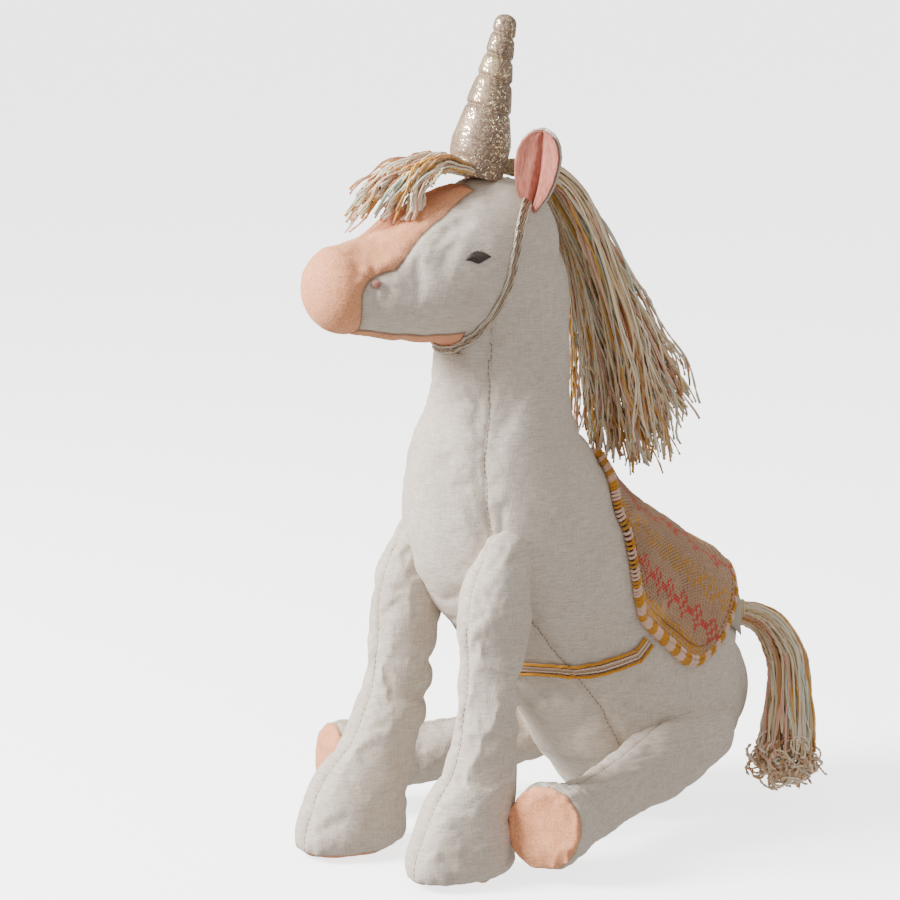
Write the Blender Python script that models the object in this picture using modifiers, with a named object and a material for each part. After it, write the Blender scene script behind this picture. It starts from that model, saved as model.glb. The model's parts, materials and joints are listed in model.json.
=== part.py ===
"""Sitting plush unicorn in linen and velour, with yarn hair, a glitter horn and a knit saddle blanket."""

import math

import bmesh
import bpy
from mathutils import Matrix, Vector

CLOTH = 0.0011  # wall of a sewn linen or velour panel
GAP = 0.0003  # clearance between touching pieces
SLACK = 0.0012  # room between a curved cloth panel and the stuffing behind it
SEAM_GAP = 0.0004  # clearance between two panels of one skin
NECK_PLANE = 0.2415  # height of the turning plane between neck and head
NECK_AXIS = Vector((0.0, -0.095, NECK_PLANE))
HEAD_TURN = math.radians(10.0)  # the head looks a little to its right at rest
SHOULDER = Vector((0.036, -0.124, 0.146))
HIP = Vector((0.037, 0.004, 0.0385))
SHOULDER_INNER = (0.0185, 0.0125)  # the torso stays inside this beside the left and right front leg
HIP_INNER = 0.0175  # the torso stays inside this beside a hip
HIP_SPLAY_INNER = 0.0460  # the same out at the foot, where the leg is splayed
FRONT_RADIUS = 0.0212
HIND_RADIUS = 0.0207
FAN_REACH = 0.25
FRONT_SWING = (6.0, 40.0)  # degrees backwards and forwards
HIND_LIFT = (3.0, 25.0)  # degrees down and up
CHEST_SEAM = 0.453  # station of the seam between belly and chest gusset
BLANKET_MIDDLE = 0.4075
BLANKET_HALF_V = 0.1225
BLANKET_SHIFT_V = 0.068
BLANKET_TAPER_V = 0.062
BLANKET_HALF_TURN = math.radians(104.0)
BLANKET_OUTER = 1.06
BLANKET_POWER = 4.6
GIRTH_TURN_START = math.radians(16.5)
GIRTH_START = 0.359
GIRTH_END = 0.418
EYE_V = 0.405
EYE_TURN = math.radians(14.0)
NOSTRIL_V = 0.775
NOSTRIL_TURN = math.radians(14.0)
ELASTIC_V_TOP = 0.305
ELASTIC_V_CHIN = 0.465
EAR_FOOT = (0.0255, -0.0960, 0.3117)
EAR_LENGTH = 0.0365
EAR_CUP = 0.0036
MANE_LOCKS = [
    (-0.016, -0.004, -0.036, 0.186, 0.0060),
    (-0.010, 0.002, -0.024, 0.176, 0.0070),
    (-0.004, 0.006, -0.010, 0.170, 0.0080),
    (0.003, 0.009, 0.004, 0.182, 0.0085),
    (0.009, 0.010, 0.014, 0.198, 0.0080),
    (0.014, 0.004, -0.010, 0.178, 0.0070),
    (0.018, -0.002, -0.030, 0.181, 0.0060),
]
FORELOCK_LOCKS = [
    (-0.013, -0.024, -0.164, 0.306),
    (-0.006, -0.014, -0.178, 0.306),
    (0.001, -0.005, -0.172, 0.311),
    (0.007, 0.006, -0.166, 0.311),
    (0.012, 0.014, -0.156, 0.312),
]
TAIL_ROWS = [
    (0.004, 0.0730, 0.0840, 0.0070, 0.0065),
    (0.016, 0.0800, 0.0800, 0.0095, 0.0090),
    (0.033, 0.0800, 0.0650, 0.0115, 0.0110),
    (0.049, 0.0730, 0.0450, 0.0125, 0.0120),
    (0.061, 0.0630, 0.0260, 0.0145, 0.0140),
    (0.068, 0.0540, 0.0100, 0.0180, 0.0165),
]
LABEL_V = 0.277
LABEL_TURN = math.radians(36.0)
EYE_SIZE = 0.0105
RIBBON_WIDTH = 0.0070
ELASTIC_RADIUS = 0.0010

LINEN = ((0.62, 0.58, 0.52, 1.0), 0.95, 0.0)
VELOUR = ((0.82, 0.47, 0.32, 1.0), 0.95, 0.0)
LINING = ((0.62, 0.29, 0.23, 1.0), 0.85, 0.0)
GLITTER = ((0.45, 0.33, 0.24, 1.0), 0.45, 0.3)
KNIT = ((0.58, 0.42, 0.33, 1.0), 0.95, 0.0)
MUSTARD = ((0.58, 0.32, 0.07, 1.0), 0.9, 0.0)
YARN = ((0.70, 0.56, 0.38, 1.0), 0.95, 0.0)
BLACK = ((0.02, 0.013, 0.01, 1.0), 0.2, 0.0)
STUFFING = ((0.9, 0.9, 0.88, 1.0), 1.0, 0.0)
LUREX = ((0.60, 0.52, 0.42, 1.0), 0.35, 0.7)
TWILL = ((0.55, 0.51, 0.46, 1.0), 0.9, 0.0)
PINK_THREAD = ((0.50, 0.24, 0.19, 1.0), 0.9, 0.0)

for old in list(bpy.data.objects):
    bpy.data.objects.remove(old)

unicorn = bpy.data.collections.new("Plush_Unicorn")
cutters = bpy.data.collections.new("Cutters")
bpy.context.scene.collection.children.link(unicorn)
bpy.context.scene.collection.children.link(cutters)
cutters.hide_render = True


def material(name, look):
    """A plain material of one colour, roughness and metallic value."""
    found = bpy.data.materials.get(name)
    if found:
        return found
    made = bpy.data.materials.new(name)
    made.use_nodes = True
    shader = made.node_tree.nodes["Principled BSDF"]
    shader.inputs["Base Color"].default_value = look[0]
    shader.inputs["Roughness"].default_value = look[1]
    shader.inputs["Metallic"].default_value = look[2]
    return made


def spline(rows, t):
    """Smooth value at t, 0 to the last row, of rows of numbers."""
    last = len(rows) - 1
    t = min(max(t, 0.0), float(last))
    i = min(int(t), last - 1)
    f = t - i
    p1 = rows[i]
    p2 = rows[i + 1]
    p0 = rows[i - 1] if i > 0 else [2 * a - b for a, b in zip(p1, p2)]
    p3 = rows[i + 2] if i + 2 <= last else [2 * b - a for a, b in zip(p1, p2)]
    out = []
    for a, b, c, d in zip(p0, p1, p2, p3):
        slope_1 = 0.5 * (c - a)
        slope_2 = 0.5 * (d - b)
        out.append(
            b
            + slope_1 * f
            + (3 * (c - b) - 2 * slope_1 - slope_2) * f * f
            + (2 * (b - c) + slope_1 + slope_2) * f * f * f
        )
    return out


def tube(rows, side, dome_start, dome_end, floor=None):
    """A stuffed form through rows of x, y, z, half width, half height: point(v, turn, depth), v 0 to 1.

    turn 0 is the side direction, a quarter turn is the back or top; depth goes inwards from the cloth."""
    last = len(rows) - 1
    start_share = 0.12 if dome_start else 0.0
    end_share = 0.12 if dome_end else 0.0

    def raw(v, turn):
        swell = 1.0
        push = 0.0
        if v < start_share:
            angle = (1.0 - v / start_share) * math.pi / 2
            swell = math.cos(angle)
            push = -dome_start * math.sin(angle)
            t = 0.0
        elif v > 1.0 - end_share:
            angle = (1.0 - (1.0 - v) / end_share) * math.pi / 2
            swell = math.cos(angle)
            push = dome_end * math.sin(angle)
            t = float(last)
        else:
            t = last * (v - start_share) / (1.0 - start_share - end_share)
        x, y, z, wide, high = spline(rows, t)
        before = Vector(spline(rows, t - 0.02)[:3])
        after = Vector(spline(rows, t + 0.02)[:3])
        along = (after - before).normalized()
        across = (side - along * side.dot(along)).normalized()
        up = along.cross(across)
        swell = max(swell, 0.0005)
        centre = Vector((x, y, z)) + along * push
        return centre + across * (wide * swell * math.cos(turn)) + up * (high * swell * math.sin(turn))

    def point(v, turn, depth):
        place = raw(v, turn)
        if depth or floor is not None:
            low = max(v - 0.004, 0.0)
            high = min(v + 0.004, 1.0)
            du = raw(v, turn + 0.03) - raw(v, turn - 0.03)
            dv = raw(high, turn) - raw(low, turn)
            normal = du.cross(dv).normalized()
            place = place - normal * depth
        if floor is not None:
            place.z = max(place.z, floor + depth)
        return place

    return point


def finish_object(obj, name, look):
    obj.name = name
    obj.data.name = name
    obj.data.materials.clear()
    obj.data.materials.append(material(name + "_colour", look))
    return obj


def mesh_object(bm, name, collection):
    bmesh.ops.recalc_face_normals(bm, faces=bm.faces)
    mesh = bpy.data.meshes.new(name)
    bm.to_mesh(mesh)
    bm.free()
    obj = bpy.data.objects.new(name, mesh)
    collection.objects.link(obj)
    return obj


def closed_form(point, depth, v_list, around, name, collection):
    """A closed solid through rings of a stuffed form."""
    bm = bmesh.new()
    rings = []
    for v in v_list:
        ring = [bm.verts.new(point(v, 2 * math.pi * k / around - math.pi / 2, depth)) for k in range(around)]
        rings.append(ring)
    for one, two in zip(rings, rings[1:]):
        for k in range(around):
            n = (k + 1) % around
            bm.faces.new((one[k], one[n], two[n], two[k]))
    for ring in (rings[0], rings[-1]):
        middle = sum((vert.co for vert in ring), Vector()) / around
        pole = bm.verts.new(middle)
        for k in range(around):
            bm.faces.new((ring[k], ring[(k + 1) % around], pole))
    return mesh_object(bm, name, collection)


def skin_panel(point, v_list, turns, name, collection, outer=0.0, inner=CLOTH):
    """One cloth panel of a stuffed form between two turns and two stations."""
    bm = bmesh.new()
    out_rows = []
    in_rows = []
    for v in v_list:
        out_rows.append([bm.verts.new(point(v, turn, outer)) for turn in turns])
        in_rows.append([bm.verts.new(point(v, turn, inner)) for turn in turns])
    rows = len(v_list)
    cols = len(turns)
    for i in range(rows - 1):
        for k in range(cols - 1):
            bm.faces.new((out_rows[i][k], out_rows[i][k + 1], out_rows[i + 1][k + 1], out_rows[i + 1][k]))
            bm.faces.new((in_rows[i][k], in_rows[i + 1][k], in_rows[i + 1][k + 1], in_rows[i][k + 1]))
    for i in range(rows - 1):
        for k in (0, cols - 1):
            bm.faces.new((out_rows[i][k], out_rows[i + 1][k], in_rows[i + 1][k], in_rows[i][k]))
    for k in range(cols - 1):
        for i in (0, rows - 1):
            bm.faces.new((out_rows[i][k], out_rows[i][k + 1], in_rows[i][k + 1], in_rows[i][k]))
    return mesh_object(bm, name, collection)


def spread(start, end, count):
    return [start + (end - start) * i / count for i in range(count + 1)]


def boolean(obj, other, operation):
    """Cuts, joins or keeps the shared part of two solids, applied at once."""
    change = obj.modifiers.new(operation, "BOOLEAN")
    change.operation = operation
    change.solver = "EXACT"
    change.object = other
    view = bpy.context.evaluated_depsgraph_get()
    result = bpy.data.meshes.new_from_object(obj.evaluated_get(view))
    obj.modifiers.clear()
    obj.data = result
    return obj


def tidy(obj, distance=0.00002):
    """Removes slivers left by a cut."""
    bm = bmesh.new()
    bm.from_mesh(obj.data)
    bmesh.ops.dissolve_degenerate(bm, dist=distance, edges=bm.edges)
    bmesh.ops.remove_doubles(bm, verts=bm.verts, dist=distance)
    bm.to_mesh(obj.data)
    bm.free()
    return obj


def prism(outline, low, high, axis, name):
    """A cutter: an outline of two coordinates drawn along one axis."""
    bm = bmesh.new()
    ends = []
    for level in (low, high):
        ring = []
        for a, b in outline:
            if axis == "X":
                place = Vector((level, a, b))
            elif axis == "Y":
                place = Vector((a, level, b))
            else:
                place = Vector((a, b, level))
            ring.append(bm.verts.new(place))
        bm.faces.new(ring)
        ends.append(ring)
    count = len(outline)
    for k in range(count):
        n = (k + 1) % count
        bm.faces.new((ends[0][k], ends[0][n], ends[1][n], ends[1][k]))
    cutter = mesh_object(bm, name, cutters)
    cutter.display_type = "WIRE"
    return cutter


def block(low, high, name):
    return prism(
        [(low[0], low[1]), (high[0], low[1]), (high[0], high[1]), (low[0], high[1])],
        low[2],
        high[2],
        "Z",
        name,
    )


def copy_of(obj, name, collection):
    twin = obj.copy()
    twin.data = obj.data.copy()
    twin.name = name
    collection.objects.link(twin)
    return twin


# ---------------------------------------------------------------- torso and neck
TORSO_ROWS = [
    (0.0, 0.046, 0.0450, 0.038, 0.0450),
    (0.0, 0.030, 0.0490, 0.045, 0.0665),
    (0.0, 0.005, 0.0665, 0.047, 0.0710),
    (0.0, -0.026, 0.096, 0.047, 0.061),
    (0.0, -0.058, 0.124, 0.047, 0.055),
    (0.0, -0.086, 0.156, 0.047, 0.051),
    (0.0, -0.095, 0.188, 0.0405, 0.0440),
    (0.0, -0.0955, 0.216, 0.0335, 0.0370),
    (0.0, -0.095, 0.242, 0.0300, 0.0345),
    (0.0, -0.093, 0.264, 0.0290, 0.0325),
    (0.0, -0.094, 0.280, 0.0270, 0.0300),
    (0.0, -0.096, 0.292, 0.0200, 0.0230),
    (0.0, -0.097, 0.297, 0.0080, 0.0090),
]
SIDE = Vector((1.0, 0.0, 0.0))
torso = tube(TORSO_ROWS, SIDE, 0.017, 0.0, floor=0.0)
TORSO_STATIONS = spread(0.012, 0.12, 5) + spread(0.12, 0.26, 6)[1:] + spread(0.26, 0.75, 11)[1:]
SEAT_Y = 0.004  # middle of the flat seat before everything is moved to the origin
GUSSET_TURN = math.radians(42.0)  # half opening of the chest and belly gusset



def leg_clearance(centre, radius, first, final, inner, side, name):
    """The room a leg sweeps beside the torso: a disc round its axis and the fan its tube passes through."""
    ring = []
    steps = 12
    start = final + math.pi / 2
    stop = first + 1.5 * math.pi
    for k in range(steps + 1):
        turn = start + (stop - start) * k / steps
        ring.append((centre.y + radius * math.cos(turn), centre.z + radius * math.sin(turn)))
    for turn, edge in ((first, ring[-1]), (final, ring[0])):
        ring.append((edge[0] + FAN_REACH * math.cos(turn), edge[1] + FAN_REACH * math.sin(turn)))
    lo, hi = (inner, 0.12) if side > 0 else (-0.12, -inner)
    return prism(ring, lo, hi, "X", name)


def hip_cone(centre, side, name):
    """Keeps the hip clearance close to the splayed leg: a shallow cone round the hip axis."""
    bm = bmesh.new()
    profile = [(0.0, HIP_INNER), (HIND_RADIUS, HIP_INNER), (0.150, HIP_SPLAY_INNER)]
    profile += [(0.150, 0.13), (0.0, 0.13)]
    steps = 40
    rings = []
    for far, out in profile:
        ring = []
        for k in range(steps):
            turn = 2 * math.pi * k / steps
            place = (side * out, centre.y + far * math.cos(turn), centre.z + far * math.sin(turn))
            ring.append(bm.verts.new(place))
            if far == 0.0:
                break
        rings.append(ring)
    for one, two in zip(rings, rings[1:]):
        for k in range(steps):
            n = (k + 1) % steps
            if len(one) == 1:
                bm.faces.new((one[0], two[k], two[n]))
            elif len(two) == 1:
                bm.faces.new((one[k], one[n], two[0]))
            else:
                bm.faces.new((one[k], one[n], two[n], two[k]))
    return mesh_object(bm, name, cutters)


def keep_largest(obj):
    """Drops the crumbs that a cut leaves beside the main piece."""
    bm = bmesh.new()
    bm.from_mesh(obj.data)
    left = set(bm.verts)
    islands = []
    while left:
        seed = left.pop()
        island = {seed}
        heap = [seed]
        while heap:
            vert = heap.pop()
            for edge in vert.link_edges:
                other = edge.other_vert(vert)
                if other in left:
                    left.discard(other)
                    island.add(other)
                    heap.append(other)
        islands.append(island)
    islands.sort(key=len)
    for island in islands[:-1]:
        bmesh.ops.delete(bm, geom=list(island), context="VERTS")
    bm.to_mesh(obj.data)
    bm.free()
    return obj


def cut_away(obj, tools):
    for tool in tools:
        boolean(obj, tool, "DIFFERENCE")
    return keep_largest(tidy(obj))


front_rooms = []
hind_rooms = []
for side in (1.0, -1.0):
    front_rooms.append(
        leg_clearance(
            SHOULDER,
            FRONT_RADIUS,
            math.radians(-90.0 - FRONT_SWING[1] - 2.0),
            math.radians(-90.0 + FRONT_SWING[0] + 2.0),
            SHOULDER_INNER[0 if side > 0 else 1],
            side,
            f"Shoulder_Room_{side:+.0f}",
        )
    )
    room = leg_clearance(
        HIP,
        HIND_RADIUS,
        math.radians(184.0 - HIND_LIFT[1] - 2.0),
        math.radians(184.0 + HIND_LIFT[0] + 5.0),
        HIP_INNER - 0.002,
        side,
        f"Hip_Room_{side:+.0f}",
    )
    boolean(room, hip_cone(HIP, side, f"Hip_Cone_{side:+.0f}"), "INTERSECT")
    hind_rooms.append(room)
rooms = front_rooms + hind_rooms
above_neck = block((-0.1, -0.3, NECK_PLANE), (0.1, 0.1, 0.45), "Above_Neck")


def torso_seam(start, end, v_list, name, look, count):
    piece = skin_panel(torso, v_list, spread(start, end, count), name, unicorn)
    cut_away(piece, rooms + [above_neck])
    return finish_object(piece, name, look)


down = -math.pi / 2
half = GUSSET_TURN
slit = SEAM_GAP / 0.090
torso_seam(down + half + slit, math.pi / 2 - slit, TORSO_STATIONS, "Torso_Side_Left_Linen", LINEN, 9)
far_edge = 1.5 * math.pi - half - slit
torso_seam(math.pi / 2 + slit, far_edge, TORSO_STATIONS, "Torso_Side_Right_Linen", LINEN, 9)
belly_stations = [v for v in TORSO_STATIONS if v < CHEST_SEAM] + [CHEST_SEAM - 0.002]
chest_stations = [CHEST_SEAM + 0.002] + [v for v in TORSO_STATIONS if v > CHEST_SEAM + 0.01]
torso_seam(down - half + slit, down + half - slit, belly_stations, "Belly_Gusset_Linen", LINEN, 6)
torso_seam(down - half + slit, down + half - slit, chest_stations, "Chest_Gusset_Linen", LINEN, 6)

stuffing_low = block((-0.1, -0.3, NECK_PLANE - GAP), (0.1, 0.1, 0.45), "Above_Torso_Stuffing")


def filled_torso(v, turn, depth):
    """The form of the filling, which is set in further where the rump curves hardest."""
    return torso(v, turn, depth + 0.0040 * max(1.0 - v / 0.35, 0.0))


pad_stations = [0.015] + TORSO_STATIONS[1:]
padding = closed_form(filled_torso, CLOTH + SLACK, pad_stations, 24, "pad", unicorn)
cut_away(padding, rooms + [stuffing_low])
finish_object(padding, "Torso_Stuffing", STUFFING)


# ---------------------------------------------------------------- saddle blanket, ribbon and label
def blanket_place(ring, reach, depth):
    """Point of the blanket: reach 0 in the middle and 1 at the edge of the knit, ring goes round it."""
    c = math.cos(ring)
    s = math.sin(ring)
    grow = (abs(c) ** BLANKET_POWER + abs(s) ** BLANKET_POWER) ** (-1.0 / BLANKET_POWER)
    down = min(abs(reach * grow * s) / BLANKET_OUTER, 1.0)
    middle = BLANKET_MIDDLE - BLANKET_SHIFT_V * down**1.4
    half = (BLANKET_HALF_V - BLANKET_TAPER_V * down**1.3) / BLANKET_OUTER
    v = middle + half * reach * grow * c
    turn = math.pi / 2 + BLANKET_HALF_TURN / BLANKET_OUTER * reach * grow * s
    return torso(v, turn, depth)


def ring_patch(inner_reach, outer_reach, rings, around, top, bottom, name):
    """A curved sheet on the back: a full disc when inner_reach is 0, otherwise a closed band."""
    bm = bmesh.new()
    layers = []
    for depth in (top, bottom):
        rows = []
        for i in range(rings + 1):
            reach = inner_reach + (outer_reach - inner_reach) * i / rings
            if reach == 0.0:
                rows.append([bm.verts.new(blanket_place(0.0, 0.0, depth))])
            else:
                places = [blanket_place(2 * math.pi * k / around, reach, depth) for k in range(around)]
                rows.append([bm.verts.new(place) for place in places])
        for one, two in zip(rows, rows[1:]):
            for k in range(around):
                n = (k + 1) % around
                if len(one) == 1:
                    bm.faces.new((one[0], two[k], two[n]))
                else:
                    bm.faces.new((one[k], one[n], two[n], two[k]))
        layers.append(rows)
    edges = [-1] if inner_reach == 0.0 else [0, -1]
    for e in edges:
        for k in range(around):
            n = (k + 1) % around
            bm.faces.new((layers[0][e][k], layers[0][e][n], layers[1][e][n], layers[1][e][k]))
    return mesh_object(bm, name, unicorn)


finish_object(ring_patch(0.0, 1.0, 7, 44, -0.0038, -0.0015, "knit"), "Saddle_Blanket_Knit", KNIT)
finish_object(ring_patch(1.010, BLANKET_OUTER, 1, 44, -0.0044, -0.0015, "edge"), "Blanket_Edge_Binding", MUSTARD)


def girth_station(turn):
    """Station of the ribbon: it leaves the blanket and runs forwards under the chest."""
    share = min(max((-turn - GIRTH_TURN_START) / (math.pi / 2 - GIRTH_TURN_START), 0.0), 1.0)
    return GIRTH_START + (GIRTH_END - GIRTH_START) * math.sin(share * math.pi / 2)


def girth_place(along, across, depth):
    """Ribbon point: along runs 0 to 1 from the left blanket edge, under the chest, to the right one."""
    turn = -GIRTH_TURN_START - (math.pi - 2 * GIRTH_TURN_START) * along
    mirrored = turn if turn > -math.pi / 2 else -math.pi - turn
    return torso(girth_station(mirrored) + across, turn, depth)


edges = [-RIBBON_WIDTH * 1.7, RIBBON_WIDTH * 1.7]
ribbon = skin_panel(girth_place, spread(0.0, 1.0, 22), edges, "ribbon", unicorn, -0.0021, -0.0011)
cut_away(ribbon, front_rooms)
finish_object(ribbon, "Girth_Ribbon", MUSTARD)


def label_place(along, across, depth):
    return torso(LABEL_V - along, LABEL_TURN + across, depth)


label_turns = spread(-0.20, 0.20, 4)
label = skin_panel(label_place, [0.0, 0.02, 0.040], label_turns, "label", unicorn, -0.0022, -0.0012)
finish_object(label, "Blank_Label_Tab", TWILL)

# ---------------------------------------------------------------- legs
FRONT_ROWS = [
    (0.0360, -0.1240, 0.1460, 0.0165, 0.0205),
    (0.0365, -0.1300, 0.1220, 0.0172, 0.0205),
    (0.0365, -0.1335, 0.0960, 0.0172, 0.0185),
    (0.0365, -0.1360, 0.0700, 0.0172, 0.0175),
    (0.0360, -0.1400, 0.0460, 0.0178, 0.0195),
    (0.0355, -0.1490, 0.0250, 0.0200, 0.0255),
    (0.0350, -0.1530, 0.0090, 0.0205, 0.0290),
    (0.0350, -0.1530, 0.0000, 0.0185, 0.0265),
]
FRONT_RIGHT_ROWS = [
    (-0.0300, -0.1240, 0.1460, 0.0165, 0.0205),
    (-0.0302, -0.1290, 0.1220, 0.0170, 0.0205),
    (-0.0305, -0.1320, 0.0960, 0.0168, 0.0180),
    (-0.0315, -0.1370, 0.0700, 0.0170, 0.0175),
    (-0.0325, -0.1460, 0.0460, 0.0178, 0.0200),
    (-0.0335, -0.1570, 0.0250, 0.0205, 0.0265),
    (-0.0340, -0.1610, 0.0090, 0.0210, 0.0300),
    (-0.0340, -0.1610, 0.0000, 0.0190, 0.0270),
]
HIND_ROWS = [
    (0.0370, 0.0040, 0.0385, 0.0180, 0.0200),
    (0.0415, -0.0200, 0.0330, 0.0180, 0.0195),
    (0.0470, -0.0480, 0.0275, 0.0172, 0.0180),
    (0.0525, -0.0735, 0.0240, 0.0165, 0.0170),
    (0.0585, -0.0960, 0.0235, 0.0165, 0.0172),
    (0.0640, -0.1115, 0.0245, 0.0178, 0.0190),
    (0.0685, -0.1215, 0.0255, 0.0190, 0.0200),
    (0.0712, -0.1265, 0.0260, 0.0180, 0.0190),
]
HIND_RIGHT_ROWS = [
    (-0.0370 - (x - 0.0370) * 1.50, 0.004 + (y - 0.004) * 0.93, 0.0385 + (z - 0.0385) * 0.80, wide, high)
    for x, y, z, wide, high in HIND_ROWS
]


def end_disc(point, v, depth, inset, bulge, around, name):
    """The velour sole: a shallow disc that closes the end of a leg."""
    edge = [point(v, 2 * math.pi * k / around, 0.0) for k in range(around)]
    middle = sum(edge, Vector()) / around
    ring = [middle + (p - middle) * (1.0 - inset / (p - middle).length) for p in edge]
    normal = (ring[around // 4] - middle).cross(ring[0] - middle).normalized()
    before = sum((point(v - 0.03, 2 * math.pi * k / around, 0.0) for k in range(around)), Vector()) / around
    if normal.dot(middle - before) < 0:
        normal = -normal
    bm = bmesh.new()
    layers = []
    for back in (0.0, depth):
        rows = []
        for reach, rise in ((1.0, 0.0), (0.6, 0.75)):
            rows.append(
                [bm.verts.new(middle + (p - middle) * reach + normal * (bulge * rise - back)) for p in ring]
            )
        pole = bm.verts.new(middle + normal * (bulge - back))
        for k in range(around):
            n = (k + 1) % around
            bm.faces.new((rows[0][k], rows[0][n], rows[1][n], rows[1][k]))
            bm.faces.new((rows[1][k], rows[1][n], pole))
        layers.append(rows)
    for k in range(around):
        n = (k + 1) % around
        bm.faces.new((layers[0][0][k], layers[0][0][n], layers[1][0][n], layers[1][0][k]))
    return mesh_object(bm, name, unicorn)


def make_leg(rows, title, side, bulge, end_v):
    form = tube(rows, SIDE, rows[0][4], 0.0, floor=0.0)
    stations = spread(0.02, 0.12, 2) + spread(0.12, 1.0, 9)[1:]
    gap = SEAM_GAP / 0.036
    outer = (down + gap, math.pi / 2 - gap)
    inner = (math.pi / 2 + gap, 1.5 * math.pi - gap)
    if side < 0:
        outer, inner = inner, outer
    for (start, end), part in ((outer, "Outer"), (inner, "Inner")):
        panel = skin_panel(form, stations, spread(start, end, 7), "panel", unicorn)
        finish_object(panel, f"{title}_{part}_Linen", LINEN)
    sole = end_disc(form, 1.0, CLOTH, CLOTH + 3 * GAP, bulge, 14, "sole")
    finish_object(sole, f"{title}_Sole_Velour", VELOUR)
    fill = closed_form(form, CLOTH + SLACK * 1.5, stations[:-1] + [end_v], 14, "fill", unicorn)
    finish_object(fill, f"{title}_Stuffing", STUFFING)


make_leg(FRONT_ROWS, "Front_Leg_Left", 1.0, 0.0, 0.982)
make_leg(FRONT_RIGHT_ROWS, "Front_Leg_Right", -1.0, 0.0, 0.982)
make_leg(HIND_ROWS, "Hind_Leg_Left", 1.0, 0.0025, 0.968)
make_leg(HIND_RIGHT_ROWS, "Hind_Leg_Right", -1.0, 0.0025, 0.968)

# ---------------------------------------------------------------- head
HEAD_ROWS = [
    (0.0, -0.0890, 0.2830, 0.0300, 0.0340),
    (0.0, -0.1030, 0.2860, 0.0345, 0.0370),
    (0.0, -0.1230, 0.2820, 0.0360, 0.0360),
    (0.0, -0.1430, 0.2775, 0.0330, 0.0320),
    (0.0, -0.1600, 0.2745, 0.0268, 0.0262),
    (0.0, -0.1740, 0.2740, 0.0225, 0.0225),
    (0.0, -0.1850, 0.2745, 0.0200, 0.0200),
]
head = tube(HEAD_ROWS, SIDE, 0.016, 0.015)
turned = Matrix.Translation(NECK_AXIS) @ Matrix.Rotation(-HEAD_TURN, 4, "Z") @ Matrix.Translation(-NECK_AXIS)


def turn_with_head(obj):
    obj.data.transform(turned)
    return obj


def head_volume(depth, floor_level, name):
    """The head joined to the top of the neck, above a level plane."""
    stations = spread(0.015, 0.12, 3) + spread(0.12, 0.88, 11)[1:] + spread(0.88, 0.985, 3)[1:]
    shape = closed_form(head, depth, stations, 20, name, unicorn)
    neck_stations = [0.68, 0.73, 0.78, 0.82, 0.86, 0.91, 0.96, 1.0]
    stub = closed_form(torso, depth, neck_stations, 20, name + "_stub", cutters)
    boolean(shape, stub, "UNION")
    below = block((-0.1, -0.3, 0.1), (0.1, 0.1, floor_level), name + "_below")
    boolean(shape, below, "DIFFERENCE")
    return tidy(shape)


def face_outline(extra):
    """Seen from above: the muzzle and the blaze up to the forelock."""
    return [
        (-0.0120 - extra, -0.1180 + extra),
        (0.0120 + extra, -0.1180 + extra),
        (0.0200 + extra, -0.1400 + extra),
        (0.0205 + extra, -0.1600 + extra),
        (0.0240 + extra, -0.1700 + extra),
        (0.0600, -0.1790 + extra),
        (0.0600, -0.2300),
        (-0.0600, -0.2300),
        (-0.0600, -0.1790 + extra),
        (-0.0240 - extra, -0.1700 + extra),
        (-0.0205 - extra, -0.1600 + extra),
        (-0.0200 - extra, -0.1400 + extra),
    ]


def face_zone(extra, name):
    """Everything in front of the muzzle seam and the top of the blaze."""
    zone = prism(face_outline(extra), 0.2860 - extra, 0.36, "Z", name)
    muzzle = prism(
        [
            (-0.1775 + extra, 0.2600),
            (-0.1800 + extra, 0.2760),
            (-0.1760 + extra, 0.2900 - extra),
            (-0.1760 + extra, 0.40),
            (-0.26, 0.40),
            (-0.26, 0.20),
            (-0.1760 + extra, 0.20),
        ],
        -0.07,
        0.07,
        "X",
        name + "_muzzle",
    )
    return boolean(zone, muzzle, "UNION")


def chin_zone(extra, name):
    return block((-0.0200 - extra, -0.1850, 0.20), (0.0200 + extra, -0.1330 + extra, 0.2640 + extra), name)


shell = head_volume(0.0, NECK_PLANE + GAP, "shell")
hollow = head_volume(CLOTH, NECK_PLANE - 0.01, "hollow")
boolean(shell, hollow, "DIFFERENCE")
bpy.data.objects.remove(hollow)

face = copy_of(shell, "face", unicorn)
boolean(face, face_zone(0.0, "Face_Zone"), "INTERSECT")
turn_with_head(finish_object(keep_largest(tidy(face)), "Face_Panel_Velour", VELOUR))
chin = copy_of(shell, "chin", unicorn)
boolean(chin, chin_zone(0.0, "Chin_Zone"), "INTERSECT")
boolean(chin, face_zone(SEAM_GAP, "Face_Room_For_Chin"), "DIFFERENCE")
turn_with_head(finish_object(keep_largest(tidy(chin)), "Chin_Panel_Velour", VELOUR))
for side, title in ((1.0, "Left"), (-1.0, "Right")):
    cheek = copy_of(shell, "cheek", unicorn)
    if side > 0:
        middle = block((-0.2, -0.4, 0.1), (SEAM_GAP / 2, 0.2, 0.5), "Right_Half")
    else:
        middle = block((-SEAM_GAP / 2, -0.4, 0.1), (0.2, 0.2, 0.5), "Left_Half")
    for tool in (middle, face_zone(SEAM_GAP, "Face_Room"), chin_zone(SEAM_GAP, "Chin_Room")):
        boolean(cheek, tool, "DIFFERENCE")
    turn_with_head(finish_object(keep_largest(tidy(cheek)), f"Head_Side_{title}_Linen", LINEN))
bpy.data.objects.remove(shell)
inner = head_volume(CLOTH + GAP, NECK_PLANE + GAP, "inner")
turn_with_head(finish_object(inner, "Head_Stuffing", STUFFING))


def head_point(v, turn, depth):
    return turned @ head(v, turn, depth)


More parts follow.
